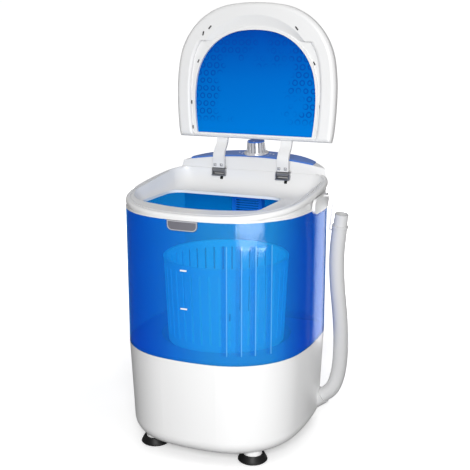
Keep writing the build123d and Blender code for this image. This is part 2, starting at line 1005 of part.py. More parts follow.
def timer_hole():
    """Hole for the timer's shaft through the panel and the frame."""
    return knob_plane() * Pos(0, 0, -spare) * extrude(Circle(timer_shaft_radius + 1), 2 * spare)


def make_control_panel():
    """Arched plate over the housing, hooked down at its front ends."""
    skin = arch_form(-panel_thickness, 0) - arch_form(0, 0)
    region = prism(panel_rear_inset, shell_top, housing_top + spare)
    depth = back_depth - panel_front
    box = Pos(panel_middle, panel_front + depth / 2, housing_top)
    box = box * Box(panel_half * 2, depth, 2 * spare)
    plate = skin & region & box
    drop = arch_radius - math.sqrt(arch_radius**2 - panel_half**2)
    for side in (-1, 1):
        x = panel_middle + side * (panel_half - panel_hook_width / 2)
        place = Pos(x, panel_front + panel_hook_depth / 2, housing_top - drop)
        hook = place * Box(panel_hook_width, panel_hook_depth, 2 * panel_hook)
        plate += (hook & arch_form(-panel_thickness, 0)) - housing_form(0)
    return plate - timer_hole()


def make_timer_unit():
    """Clockwork timer box hung under the housing's top."""
    top = -(panel_thickness + frame_wall + timer_drop)
    box = Box(timer_size, timer_size * 0.7, timer_height, align=(Align.CENTER, Align.CENTER, Align.MAX))
    box = fillet(box.edges().filter_by(Axis.Z), 4)
    neck = extrude(Circle(timer_neck_radius), timer_neck)
    bore = Pos(0, 0, -timer_grip - 2) * extrude(Circle(timer_shaft_radius + running_fit), timer_height)
    return knob_plane() * Pos(0, 0, top) * (box + neck - bore)


def make_timer_shaft():
    low = -(panel_thickness + frame_wall + timer_drop + timer_grip)
    length = knob_height - knob_closed_end - low
    return knob_plane() * Pos(0, 0, low) * extrude(Circle(timer_shaft_radius), length)


def make_timer_knob():
    """Flange and tapered fluted grip on the timer shaft."""
    flange = Pos(0, 0, seat_gap) * extrude(Circle(knob_flange_radius), knob_flange_height)
    flange = fillet(flange.edges().sort_by(Axis.Z)[-1], 1.2)
    low = Pos(0, 0, seat_gap + knob_flange_height) * Circle(knob_base_radius)
    high = Pos(0, 0, knob_height) * Circle(knob_top_radius)
    grip = loft([low, high])
    for place in range(knob_flutes):
        turn = Rot(0, 0, place * 360 / knob_flutes)
        cut_low = Pos(knob_base_radius + 0.4, 0, knob_flange_height + 1.5) * Circle(knob_flute_radius)
        cut_high = Pos(knob_top_radius + 0.4, 0, knob_height + 0.5) * Circle(knob_flute_radius)
        grip -= turn * loft([cut_low, cut_high])
    knob = flange + grip
    knob -= extrude(Circle(timer_shaft_radius + running_fit), knob_height - knob_closed_end)
    return knob_plane() * knob


def make_knob_cap():
    cap = Pos(0, 0, knob_height) * extrude(Circle(knob_top_radius - 0.4), knob_cap_height)
    return knob_plane() * fillet(cap.edges().sort_by(Axis.Z)[-1], 1.0)


# Hinges
def hinge_axis(side):
    """Plane across one hinge, on the pivot line, looking along +X."""
    return Plane(origin=(side * hinge_x, pivot_y, pivot_z), x_dir=(0, 1, 0), z_dir=(1, 0, 0))


def make_hinge_clip(side):
    """Fixed bracket: floor plate and two ears around the pin."""
    inner = arm_width / 2 + ear_gap
    height = pivot_z - clip_floor
    ear = Circle(barrel_radius) + Pos(0, -height / 2) * Rectangle(2 * barrel_radius, height)
    ear -= Circle(pin_radius + running_fit)
    ears = [
        Pos(0, 0, inner) * extrude(ear, ear_thickness),
        Pos(0, 0, -inner - ear_thickness) * extrude(ear, ear_thickness),
    ]
    floor = Pos(0, -height + clip_plate / 2, 0) * Box(2 * clip_reach, clip_plate, clip_width())
    return hinge_axis(side) * (floor + ears)


def make_hinge_pin(side):
    length = clip_width()
    head = Pos(0, 0, length / 2) * extrude(Circle(pin_radius + 0.8), 0.6)
    return hinge_axis(side) * (Pos(0, 0, -length / 2) * extrude(Circle(pin_radius), length) + head)


def make_hinge_leaf(side):
    """Moving knuckle with the plate that the arm is screwed to."""
    plate = Pos(leaf_plate / 2 + 0.5, leaf_length / 2) * Rectangle(leaf_plate, leaf_length)
    section = Circle(barrel_radius) + plate
    section -= Circle(pin_radius + running_fit)
    leaf = Pos(0, 0, -arm_width / 2) * extrude(section, arm_width)
    return hinge_axis(side) * leaf


def arm_path():
    """Centre line of an arm: up beside the leaf, then swept back into the lid."""
    start = (0.5 - arm_thickness / 2, barrel_radius + 0.6)
    bend = (0.5 - arm_thickness / 2, leaf_length + 2)
    lean = math.radians(lid_lean)
    reach = lid_rear + arm_seat
    depth = lid_drop + lid_depth / 2 - 1
    points = []
    for along in (lid_rear, reach):
        y = math.cos(lean) * depth + math.sin(lean) * along
        z = math.cos(lean) * along - math.sin(lean) * depth
        points.append((y, z))
    return start, bend, points[0], points[1]


def make_lid_arm(side):
    start, bend, middle, end = arm_path()
    straight = Line(start, bend)
    slope = math.tan(math.radians(lid_lean))
    leave = (bend[0], bend[1] + arm_sweep)
    arrive = (middle[0] - arm_sweep * slope, middle[1] - arm_sweep)
    sweep_back = Bezier(bend, leave, arrive, middle)
    tongue = Line(middle, end)
    path = Wire([straight.edge(), sweep_back.edge(), tongue.edge()])
    path = hinge_axis(side) * path
    section = Plane(origin=path @ 0, x_dir=(1, 0, 0), z_dir=path % 0) * Rectangle(arm_width, arm_thickness)
    return sweep(section, path=path)


# Lid
def lid_outline(inset):
    """Lid's outline in its own plane, cut straight at the rear."""
    face = Rot(0, 0, 180) * plan_face(lid_inset + inset)
    face = Pos(0, lid_centre) * face
    keep = Pos(0, lid_rear + inset + beyond / 2) * Rectangle(2 * half_width, beyond)
    return face & keep


def window_outline(grow):
    """Window: a rounded front on nearly straight sides and a flat rear."""
    on_face, on_corner, on_side, on_flank = quadrant(
        window_half + grow,
        window_front + grow,
        window_face_radius + grow,
        window_side_radius + grow,
        window_corner_radius + grow,
    )
    half = window_half + grow
    front = half_outline((on_face, on_corner, on_side, on_flank), window_front + grow, half, 1)
    rear = window_back + grow
    low = window_rear_half + grow
    waist = (half + low) / 2 + window_waist
    sides = [
        ThreePointArc((-half, 0), (-waist, -rear / 2), (-low, -rear)),
        Line((-low, -rear), (low, -rear)),
        ThreePointArc((low, -rear), (waist, -rear / 2), (half, 0)),
    ]
    return Pos(0, window_centre) * make_face(Curve() + front + sides)


def layer(face, low, high):
    """Extrusion between two depths, both measured from the lid's underside."""
    return Pos(0, 0, -lid_drop - high) * extrude(face, high - low)


def pocket_outline(grow):
    """Edge of the flat band inside the lid's rolled rim."""
    face = Pos(0, lid_centre) * (Rot(0, 0, 180) * plan_face(lid_inset + lid_roll - grow))
    rear = lid_pocket_rear - grow
    keep = Pos(0, rear + beyond / 2) * Rectangle(2 * half_width, beyond)
    return face & keep


def lid_body():
    """Whole outer form of the lid, rounded on both sides, with its pocket."""
    body = layer(lid_outline(0), 0, lid_depth)
    rings = body.faces().filter_by(Axis.Z).edges()
    body = fillet(rings, lid_edge_radius)
    return body - lid_recess()


def scoop_face(half, front):
    """Crescent's outline: an arc over a straight rear edge."""
    arc = ThreePointArc((-half, scoop_rear), (0, front), (half, scoop_rear))
    return make_face(Curve() + [arc, Line((half, scoop_rear), (-half, scoop_rear))])


def lid_recess():
    """Everything cut from the underside: the band's pocket and the finger scoop."""
    rear_part = Pos(0, scoop_rear - beyond / 2) * Rectangle(2 * half_width, beyond)
    pocket = layer(pocket_outline(0) & rear_part, -1, lid_pocket)
    pocket += soft_roll() & layer(rear_part, -1, lid_pocket)
    around_window = layer(window_outline(window_lip + 0.4), -1, lid_pocket)
    mouth = Pos(0, 0, -lid_drop) * scoop_face(scoop_half, scoop_front)
    floor = Pos(0, 0, -lid_drop - lid_pocket) * scoop_face(scoop_floor_half, scoop_floor_front)
    scoop = loft([floor, mouth])
    return pocket + scoop + (around_window & layer(lid_outline(lid_roll / 2), -2, lid_depth))


def soft_roll():
    """Cut that rounds the rolled rim where it meets the pocket."""
    steps = ((-0.1, 1.0), (0.0, 1.0), (0.2, 0.42), (0.5, 0.12), (1.0, 0.0))
    faces = []
    for depth, growth in steps:
        face = pocket_outline(growth * lid_roll_soft)
        faces.append(Pos(0, 0, -lid_drop - depth * lid_roll_soft) * face)
    return loft(faces, ruled=True)


def lid_hollow():
    """Space between the lid's two skins."""
    space = layer(lid_outline(lid_wall), lid_wall, lid_depth - lid_wall)
    rings = space.faces().filter_by(Axis.Z).edges()
    return fillet(rings, lid_edge_radius - lid_wall)


def make_lid_frame():
    """Underside of the lid: hollow rolled rim, flat band and window lip."""
    body = lid_body() & layer(lid_outline(-5), -1, lid_split)
    hollow = lid_hollow()
    band = layer(pocket_outline(2 * lid_wall + lid_roll_soft), -1, lid_pocket + lid_wall)
    frame = body - (hollow - band)
    lip = layer(window_outline(window_lip), lid_pocket - window_lip_height, lid_pocket)
    frame += lip & layer(lid_outline(4), -1, lid_depth)
    frame -= layer(window_outline(0), -1, lid_depth)
    for slot in clip_slots():
        frame -= slot
    for side in (-1, 1):
        frame -= arm_notch(side)
    return LID * frame


def clip_slots():
    """Small slots of the snap clips in the flat band."""
    slots = []
    middle = lid_pocket + lid_wall / 2
    for x, y, turn in clip_slot_places():
        box = Box(clip_slot_width, clip_slot_length, lid_wall * 3)
        slots.append(Pos(x, y, -lid_drop - middle) * Rot(0, 0, turn) * box)
    return slots


def clip_slot_places():
    """Slots down both sides and beside the front corners."""
    side = window_half + window_lip + 3.5
    places = []
    for way in (-1, 1):
        places.append((way * (side - 3), lid_pocket_rear + 12, 0))
        places.append((way * side, window_centre - 10, 0))
        places.append((way * (side - 14), window_centre + 70, way * 28))
    return places


def arm_notch(side):
    """Gap in the lid's rear wall for one arm."""
    depth = lid_depth / 2 - 1
    low = depth - arm_thickness / 2 - seat_gap / 2
    high = depth + arm_thickness / 2 + seat_gap / 2
    outline = Pos(side * hinge_x, lid_rear + arm_seat / 2) * Rectangle(
        arm_width + 2 * seat_gap, arm_seat + 2 * seat_gap
    )
    return layer(outline, low, high)


def make_lid_cover():
    """Outer skin of the lid with the ring that holds the window."""
    body = lid_body() & layer(lid_outline(-5), lid_split, lid_depth + 1)
    hollow = lid_hollow()
    ring = layer(window_outline(collar_ring), lid_split - 2, lid_depth)
    cover = body - (hollow - ring)
    cover -= layer(window_outline(0), -1, lid_depth + 1)
    for side in (-1, 1):
        cover -= arm_notch(side)
    return LID * cover


def make_lid_window():
    """Clear pane held between the band and the cover's ring."""
    pane = window_outline(collar_ring - 1.5) & lid_outline(lid_wall + 1)
    return LID * layer(pane, lid_pocket + lid_wall, lid_split)


# Front plate
def make_badge_plate():
    low = shell_top - badge_height
    outline = Pos(badge_x, low + badge_height / 2) * Rectangle(badge_half * 2, badge_height)
    corners = outline.vertices().sort_by(Axis.Y)[:2]
    outline = fillet(corners, badge_corner)
    view = extrude(Plane.XZ * outline, amount=half_width * 2)
    skin = tapered(seam_inset - badge_thickness, seam_height, -badge_thickness, shell_top)
    return (skin & view) - tapered(seam_inset, seam_height, 0, shell_top)


# Hose and hook
def hose_route():
    return [Vector(*point) for point in hose_points]


def route_radii(points):
    """Arc at each inner point: 0.45 of the shorter run over the half turn's tangent."""
    radii = []
    for before, here, after in zip(points, points[1:], points[2:]):
        first = here - before
        second = after - here
        turn = math.radians(first.get_angle(second))
        radii.append(0.45 * min(first.length, second.length) / math.tan(turn / 2))
    return radii


def make_drain_hose():
    points = hose_route()
    radii = route_radii(points)
    print("hose radii", [round(radius) for radius in radii])
    path = FilletPolyline(*points, radius=radii)
    wire = path.wire()
    start = Plane(origin=wire @ 0, z_dir=wire % 0)
    outer = sweep(start * Circle(hose_radius), path=wire)
    inner = sweep(start * Circle(hose_bore), path=wire)
    hose = outer - inner
    section = math.pi * (hose_radius**2 - hose_bore**2)
    print("hose volume", round(hose.volume), "section x length", round(section * wire.length))
    return hose


def make_hose_spout():
    """Narrower end pushed into the top of the hose."""
    start, second = hose_route()[:2]
    way = (start - second).normalized()
    plane = Plane(origin=start, z_dir=way)
    length = (Vector(*spout_tip) - start).length
    spout = tube(spout_radius, spout_radius - spout_wall, length)
    collar = tube(hose_radius + 0.8, spout_radius - spout_wall, spout_collar)
    return plane * (spout + collar)


def make_drain_outlet():
    """Spigot through the housing's wall, with its outer flange."""
    tip = outlet_axis() * Pos(0, 0, outlet_reach)
    path = FilletPolyline(
        (outlet_x - outlet_inside, outlet_y, outlet_height),
        (outlet_x, outlet_y, outlet_height),
        tip.position,
        radius=outlet_radius + 1,
    )
    wire = path.wire()
    start = Plane(origin=wire @ 0, z_dir=wire % 0)
    nipple = sweep(start * Circle(outlet_radius), path=wire) - sweep(start * Circle(outlet_bore), path=wire)
    flange = tube(outlet_flange_radius, outlet_radius, outlet_root + outlet_flange)
    flange = (outlet_axis() * Pos(0, 0, -outlet_root) * flange) - base_form(0, base_bottom)
    return nipple + flange


def make_drain_pipe():
    """Pipe from the tub floor down and out to the spigot."""
    corner = (drain_x, outlet_y, outlet_height)
    end = (outlet_x - outlet_inside, outlet_y, outlet_height)
    top = well_floor_height() - floor_thickness
    path = FilletPolyline((drain_x, outlet_y, top), corner, end, radius=drain_bend)
    wire = path.wire()
    start = Plane(origin=wire @ 0, z_dir=wire % 0)
    pipe = sweep(start * Circle(outlet_radius), path=wire)
    return pipe - sweep(start * Circle(outlet_bore), path=wire)


def make_hose_hook():
    """Rounded boss on the rim's side with its L-shaped rod."""
    width = hook_rear - hook_front
    middle = (hook_front + hook_rear) / 2
    low = shell_top - hook_low
    outline = Pos(middle, low + hook_height / 2) * Rectangle(width, hook_height)
    outline = fillet(outline.vertices(), hook_corner)
    view = extrude(Plane.YZ * outline, amount=half_width * 2)
    skin = tapered(-hook_thickness, low - 10, -hook_thickness, low + hook_height + 10)
    pad = (skin & view) - prism(0, low - 20, low + hook_height + 20)
    path = FilletPolyline(
        (half_width + 2, rod_y, rod_top),
        (rod_top_x, rod_y, rod_top),
        (rod_bottom_x, rod_y, rod_bottom),
        (rod_bottom_x + rod_foot, rod_y, rod_bottom),
        radius=rod_radius + 0.4,
    )
    wire = path.wire()
    rod = sweep(Plane(origin=wire @ 0, z_dir=wire % 0) * Circle(rod_radius), path=wire)
    return pad + rod


# Wiring
def make_wire_harness():
    """Wires from the timer down the dry duct and on to the motor."""
    y = duct_dry_y()
    turn = Vector(harness_x, y, harness_turn)
    plug_height = motor_top - motor_height / 2
    points = (
        (harness_x, y, harness_top),
        turn,
        turn + Vector(*harness_step),
        (motor_x, motor_radius + harness_lead, plug_height),
        (motor_x, motor_radius + seat_gap, plug_height),
    )
    path = FilletPolyline(*points, radius=10)
    wire = path.wire()
    return sweep(Plane(origin=wire @ 0, z_dir=wire % 0) * Circle(harness_radius), path=wire)


def build_all():
    save(make_base_housing(), "base_housing", WHITE)
    save(make_bottom_cover(), "bottom_cover", WHITE)
    save(make_cover_screws(), "cover_screws", STEEL)
    names = ("foot_front_left", "foot_rear_left", "foot_front_right", "foot_rear_right")
    for name, (x, y) in zip(names, foot_places()):
        save(Pos(x, y, 0) * make_foot(), name, DARK)
    save(make_cord_gland(), "cord_gland", DARK)
    save(make_tub_shell(), "tub_shell", BLUE)
    save(make_duct_wall(), "duct_wall", BLUE)
    save(make_overflow_filter(), "overflow_filter", BLUE)
    save(make_drive_shaft(), "drive_shaft", STEEL)
    save(make_bearing(hub_bottom() + 1), "lower_bearing", GREY)
    upper = well_floor_height() - seal_height - bearing_height
    save(make_bearing(upper), "upper_bearing", GREY)
    save(make_shaft_seal(), "shaft_seal", DARK)
    save(make_pulsator(), "pulsator", WHITE)
    save(make_spin_basket(), "spin_basket", WHITE)
    save(make_basket_nut(), "basket_nut", BLUE)
    save(make_drum_pulley(), "drum_pulley", GREY)
    save(make_motor_pulley(), "motor_pulley", GREY)
    save(make_drive_belt(), "drive_belt", DARK)
    save(make_motor_body(), "motor_body", GREY)
    save(make_motor_shaft(), "motor_shaft", STEEL)
    save(make_motor_bracket(), "motor_bracket", STEEL)
    save(make_bracket_screws(), "bracket_screws", STEEL)
    save(make_capacitor(), "run_capacitor", GREY)
    save(make_top_frame(), "top_frame", WHITE)
    save(make_control_panel(), "control_panel", BLUE)
    save(make_timer_unit(), "timer_unit", DARK)
    save(make_timer_shaft(), "timer_shaft", STEEL)
    save(make_timer_knob(), "timer_knob", WHITE)
    save(make_knob_cap(), "knob_cap", BLUE)
    for name, side in (("left", -1), ("right", 1)):
        save(make_hinge_clip(side), "hinge_clip_" + name, GREY)
        save(make_hinge_pin(side), "hinge_pin_" + name, STEEL)
        save(make_hinge_leaf(side), "hinge_leaf_" + name, GREY)
        save(make_lid_arm(side), "lid_arm_" + name, WHITE)
    save(make_lid_frame(), "lid_frame", WHITE)
    save(make_lid_cover(), "lid_cover", WHITE)
    save(make_lid_window(), "lid_window", BLUE)
    save(make_badge_plate(), "badge_plate", GREY)
    save(make_hose_hook(), "hose_hook", WHITE)
    save(make_drain_outlet(), "drain_outlet", GREY)
    save(make_drain_pipe(), "drain_pipe", GREY)
    save(make_drain_hose(), "drain_hose", WHITE)
    save(make_hose_spout(), "hose_spout", WHITE)
    save(make_wire_harness(), "wire_harness", DARK)


build_all()
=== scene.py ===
# %% [markdown]
# # A mini washing machine, dressed for its portrait
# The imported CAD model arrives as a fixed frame: every moulded piece already has
# its true shape and place, in metres. What is left for Blender is what the eye
# notices last and misses most: finishes, printed and screwed-on details, the
# soft line of the drain hose, the light and the camera.

import math

import bmesh
import bpy
from mathutils import Matrix, Vector


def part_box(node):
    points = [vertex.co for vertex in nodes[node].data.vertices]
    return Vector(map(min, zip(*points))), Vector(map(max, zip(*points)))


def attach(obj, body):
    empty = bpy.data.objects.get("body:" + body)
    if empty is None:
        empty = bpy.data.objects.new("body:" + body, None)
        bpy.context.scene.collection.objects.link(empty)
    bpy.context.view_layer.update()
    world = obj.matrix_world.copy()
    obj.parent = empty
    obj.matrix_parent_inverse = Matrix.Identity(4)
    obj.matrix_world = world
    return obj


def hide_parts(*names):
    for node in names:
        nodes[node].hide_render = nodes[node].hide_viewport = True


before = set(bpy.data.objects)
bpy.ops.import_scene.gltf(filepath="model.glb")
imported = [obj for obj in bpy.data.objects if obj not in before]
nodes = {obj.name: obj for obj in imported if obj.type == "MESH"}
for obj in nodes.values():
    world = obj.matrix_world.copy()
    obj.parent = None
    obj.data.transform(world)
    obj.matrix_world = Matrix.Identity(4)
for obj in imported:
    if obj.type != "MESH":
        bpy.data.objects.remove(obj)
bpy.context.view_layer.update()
scene = bpy.context.scene

# %% [markdown]
# ## Camera
# The camera stands a little to the machine's left hand side and looks slightly
# down, as in a catalogue picture. It is placed before anything else, because
# the hose has to stay inside what it sees.

# %% Place the camera
AZIMUTH = math.radians(23.404)
ELEVATION = math.radians(12.963)
DISTANCE = 1.77679
LOOK_AT = Vector((0.017818, 0.0, 0.387108))
FOCAL_PIXELS = 960.488
PICTURE_PIXELS = 470
SENSOR = 36.0

back = Vector((
    math.sin(AZIMUTH) * math.cos(ELEVATION),
    -math.cos(AZIMUTH) * math.cos(ELEVATION),
    math.sin(ELEVATION),
))
camera_data = bpy.data.cameras.new("portrait_camera")
camera_data.sensor_width = SENSOR
camera_data.lens = FOCAL_PIXELS / PICTURE_PIXELS * SENSOR
camera = bpy.data.objects.new("portrait_camera", camera_data)
scene.collection.objects.link(camera)
camera.location = LOOK_AT + back * DISTANCE
camera.rotation_mode = "QUATERNION"
camera.rotation_quaternion = (-back).to_track_quat("-Z", "Y")
scene.camera = camera
print("camera at", [round(v, 3) for v in camera.location], "lens", round(camera_data.lens, 2))

# %% [markdown]
# ## Drain hose
# The hose is one smooth bend of soft grey tube. It rises from the outlet in
# the base, hangs on the hook's rod and ends in a narrower spout. A NURBS
# spline through a few route points gives the relaxed line that a tube takes;
# order three keeps it close to the points without corners.

# %% Lay the hose
HOSE_ROUTE = (
    (0.2063, 0.0415, 0.4090),
    (0.2023, 0.0435, 0.3810),
    (0.2000, 0.0470, 0.3430),
    (0.2010, 0.0515, 0.2980),
    (0.2046, 0.0570, 0.2540),
    (0.2066, 0.0635, 0.2080),
    (0.2050, 0.0710, 0.1650),
    (0.2010, 0.0770, 0.1245),
    (0.1923, 0.0795, 0.0918),
    (0.1810, 0.0800, 0.0754),
    (0.1696, 0.0800, 0.0674),
)
HOSE_RADIUS = 0.014

hose_curve = bpy.data.curves.new("drain_line", "CURVE")
hose_curve.dimensions = "3D"
line = hose_curve.splines.new("NURBS")
line.points.add(len(HOSE_ROUTE) - 1)
for point, place in zip(line.points, reversed(HOSE_ROUTE)):
    point.co = (*place, 1.0)
    point.radius = HOSE_RADIUS
line.order_u = 3
line.use_endpoint_u = True
line.resolution_u = 12
hose_curve.bevel_depth = 1.0
hose_curve.bevel_resolution = 10
hose_curve.use_fill_caps = True
hose = bpy.data.objects.new("drain_line", hose_curve)
scene.collection.objects.link(hose)
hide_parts("drain_hose")
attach(hose, "cabinet")

# %% [markdown]
# ## A small language for finishes
# A finish is a node tree, and much of a node tree is arithmetic. Math nodes are
# slow to lay by hand, so `Signal` wraps one socket, and Python's own operators
# on it add them.


# %% Signals
class Signal:
    """One output socket, which Python arithmetic can use."""

    def __init__(self, recipe, socket):
        self.recipe = recipe
        self.socket = socket

    def _pair(self, operation, first, second):
        return self.recipe.add("ShaderNodeMath", {"operation": operation}, {0: first, 1: second})

    def __add__(self, other):
        return self._pair("ADD", self, other)

    def __sub__(self, other):
        return self._pair("SUBTRACT", self, other)

    def __rsub__(self, other):
        return self._pair("SUBTRACT", other, self)

    def __mul__(self, other):
        return self._pair("MULTIPLY", self, other)

    def __truediv__(self, other):
        return self._pair("DIVIDE", self, other)

    def __pow__(self, other):
        return self._pair("POWER", self, other)

    def __gt__(self, other):
        return self._pair("GREATER_THAN", self, other)

    def __lt__(self, other):
        return self._pair("LESS_THAN", self, other)

    def size(self):
        """The value without its sign."""
        return self._pair("ABSOLUTE", self, 0.0)

    def root(self):
        return self._pair("SQRT", self, 0.0)

    def whole(self):
        """The whole number below the value."""
        return self._pair("FLOOR", self, 0.0)

    def remainder(self):
        """What is left of the value above its whole number."""
        return self._pair("FRACT", self, 0.0)

    def turn_from(self, x):
        """Angle of the point (x, self) about the origin, in radians."""
        return self._pair("ARCTAN2", self, x)

    def or_more(self, other):
        """The larger of two values."""
        return self._pair("MAXIMUM", self, other)

    def clamped(self):
        """The value held between 0 and 1."""
        return self.recipe.add("ShaderNodeClamp", {}, {"Value": self})

    __radd__ = __add__
    __rmul__ = __mul__


print("signals ready")

# %% [markdown]
# ## Recipes
# `Recipe` holds the node tree of one finish, or of the room around the object,
# and adds every other kind of node with one call. Patterns read Object
# coordinates. Every piece sits at the origin with its place in its mesh, so
# these are metres in the model's own frame, the same on every piece.

# %% Recipes
OBJECT_COORDINATES = 3
MIXED_COLOUR = 2
SURFACE_NORMAL = 1
FACING = 1


class Recipe:
    """One node tree and the calls that fill it."""

    def __init__(self, name, owner=None):
        self.material = owner or bpy.data.materials.new(name)
        self.material.use_nodes = True
        self.tree = self.material.node_tree
        self.tree.nodes.clear()

    def add(self, kind, settings=None, sockets=None, out=0):
        """One node: its settings first, then its sockets' values or links."""
        node = self.tree.nodes.new(kind)
        for key, value in (settings or {}).items():
            if key == "stops":
                self._stops(node.color_ramp, value)
            else:
                setattr(node, key, value)
        for key, value in (sockets or {}).items():
            if isinstance(value, Signal):
                self.tree.links.new(value.socket, node.inputs[key])
            else:
                node.inputs[key].default_value = value
        return Signal(self, node.outputs[out]) if node.outputs else node

    def _stops(self, ramp, stops):
        """Places and colours of a colour ramp."""
        while len(ramp.elements) < len(stops):
            ramp.elements.new(0.5)
        for element, (place, colour) in zip(ramp.elements, stops):
            element.position = place
            element.color = colour

    def place(self):
        """Object coordinates."""
        return self.add("ShaderNodeTexCoord", out=OBJECT_COORDINATES)

    def split(self, vector):
        """The three numbers of a vector."""
        outputs = self.add("ShaderNodeSeparateXYZ", {}, {0: vector}).socket.node.outputs
        return [Signal(self, outputs[i]) for i in range(3)]

    def axes(self):
        """The three object coordinates as numbers."""
        return self.split(self.place())

    def noise(self, scale, detail=2.0, roughness=0.5):
        """Cloudy noise from 0 to 1."""
        values = {"Vector": self.place(), "Scale": scale, "Detail": detail, "Roughness": roughness}
        return self.add("ShaderNodeTexNoise", {}, values)

    def blend(self, low, high, share):
        """One colour between two, by a share that changes over the surface."""
        sockets = {0: share, 6: low, 7: high}
        return self.add("ShaderNodeMix", {"data_type": "RGBA"}, sockets, out=MIXED_COLOUR)

    def mix(self, share, first, second):
        """One shader between two."""
        return self.add("ShaderNodeMixShader", {}, {0: share, 1: first, 2: second})

    def clear(self, tint):
        """A tint that light passes through without bending."""
        return self.add("ShaderNodeBsdfTransparent", {}, {"Color": tint})

    def bump(self, height, strength, distance):
        """Fine relief, with its depth in metres."""
        values = {"Height": height, "Strength": strength, "Distance": distance}
        return self.add("ShaderNodeBump", {}, values)

    def surface(self, sockets):
        """The everyday shader for solid things."""
        return self.add("ShaderNodeBsdfPrincipled", {}, sockets)

    def finish(self, shader):
        """Closes the tree and hands over the material."""
        self.add("ShaderNodeOutputMaterial", {}, {"Surface": shader})
        return self.material


def rgb(red, green, blue):
    """A colour with full alpha."""
    return (red, green, blue, 1.0)


def grey(level):
    return rgb(level, level, level)


print("recipes ready")

# %% [markdown]
# ## Moulded plastics
# White plastic is never one flat white: the melt cools unevenly, so its tone
# drifts a little and so does its gloss. Both drifts are smooth clouds without
# finer detail, because specks would look like dirt. The mould leaves a grain
# far finer than a millimetre, which breaks up the sharpest reflections.


# %% White and coloured mouldings
TONE_CLOUDS = 6.0
GLOSS_CLOUDS = 24.0
GLOSS_SPREAD = 0.06
GRAIN = 1900.0
GRAIN_DEPTH = 0.0001
COAT_ROUGHNESS = 0.06


def moulded(name, dark, light, rough, grain, coat=0.0, metallic=0.0):
    """Injection-moulded plastic with drifting tone, uneven gloss and fine grain."""
    r = Recipe(name)
    drift = r.noise(TONE_CLOUDS, 0.0)
    gloss = r.noise(GLOSS_CLOUDS, 0.0)
    return r.finish(r.surface({
        "Base Color": r.blend(rgb(*dark), rgb(*light), drift),
        "Roughness": rough + (gloss - 0.5) * GLOSS_SPREAD,
        "Metallic": metallic,
        "Coat Weight": coat,
        "Coat Roughness": COAT_ROUGHNESS,
        "Normal": r.bump(r.noise(GRAIN, 1.0), grain, GRAIN_DEPTH),
    }))


white_shell = moulded("white_abs", (0.76, 0.76, 0.76), (0.80, 0.80, 0.80), 0.33, 0.05, 0.1)
# The top frame and the lid take darker copies of the same white: painted shade that tones down the
# light falling on them.
shaded_white_top = moulded("shaded_white_top_abs", (0.72, 0.72, 0.72), (0.76, 0.76, 0.76), 0.33, 0.05, 0.1)
shaded_white_lid = moulded("shaded_white_lid_abs", (0.73, 0.73, 0.73), (0.77, 0.77, 0.77), 0.34, 0.05, 0.1)
panel_blue = moulded("panel_blue_abs", (0.05, 0.15, 0.50), (0.07, 0.19, 0.57), 0.34, 0.06, 0.2)
cap_blue = moulded("cap_blue_abs", (0.02, 0.11, 0.46), (0.03, 0.14, 0.52), 0.34, 0.06, 0.1)
grey_plate = moulded("grey_plate", (0.17, 0.17, 0.20), (0.22, 0.22, 0.25), 0.33, 0.08, 0.2, 0.3)
plate_rim = moulded("plate_rim", (0.55, 0.56, 0.60), (0.64, 0.65, 0.69), 0.34, 0.05, 0.3, 0.3)
hose_grey = moulded("hose_pvc", (0.52, 0.522, 0.526), (0.58, 0.582, 0.586), 0.36, 0.12, 0.1)
nylon_grey = moulded("grey_nylon", (0.30, 0.30, 0.30), (0.36, 0.36, 0.36), 0.5, 0.2)
# Real dark plastic for the timer and wires, also used as painted shade in the arms' screw pockets
# and the lid's slots and slits.
dark_plastic = moulded("dark_plastic", (0.018, 0.018, 0.02), (0.03, 0.03, 0.032), 0.45, 0.2)
print("mouldings ready")

# %% [markdown]
# ## Pearl knob
# The knob has a silvery lacquer, and its grip is cut by flutes, which are
# darkened with painted shade. How deep a point lies in a flute is the grip's
# own radius at that height less the point's distance from the knob's leaning axis.

# %% Pearl lacquer
PANEL_TILT = math.radians(6.2)
KNOB_AXIS_Y = 0.147
KNOB_FOOT_Z = 0.5190
KNOB_FOOT_RADIUS = 0.0190
KNOB_TAPER = 0.083
FLANGE_TOP = 0.001
FLUTE_START = 0.0002
FLUTE_GAIN = 1400.0

r = Recipe("pearl_grip")
x, y, z = r.axes()
height = z - KNOB_FOOT_Z
across = y - KNOB_AXIS_Y + height * math.tan(PANEL_TILT)
from_axis = (x * x + across * across).root()
grip_radius = KNOB_FOOT_RADIUS - height * KNOB_TAPER
sunk = grip_radius - from_axis - FLUTE_START
groove_shade = (sunk * FLUTE_GAIN).clamped() * (height > FLANGE_TOP)
pearl = r.blend(rgb(0.66, 0.66, 0.68), rgb(0.80, 0.80, 0.82), r.noise(40.0, 3.0))
pearl_grip = r.finish(r.surface({
    # Painted shade: the flutes are darkened.
    "Base Color": r.blend(pearl, rgb(0.10, 0.10, 0.11), groove_shade * 0.8),
    "Roughness": 0.22 + (r.noise(60.0, 3.0) - 0.5) * 0.08,
    "Metallic": 0.45 + groove_shade * 0.3,
    "Coat Weight": 0.3,
    "Normal": r.bump(r.noise(GRAIN, 1.0), 0.05, 0.0004),
}))
print("pearl lacquer ready")

# %% [markdown]
# ## Clear blue tub
# The tub is tinted, clear plastic a few millimetres thick. Light that passes
# one wall comes out sky blue, and after two walls only deep blue is left,
# which is why the bare parts of the tub look darker than the basket inside.
# A tinted Transparent shader on each face does just that, and lets lamps
# shine in, which plain glass would not. A thin skin is mixed over it: it holds
# the gloss, and it grows fuller towards the edges, where the wall is seen
# slantwise. The skin is also made fuller on the floor and where painted shade,
# painted highlights and a painted glow lie on the tub.

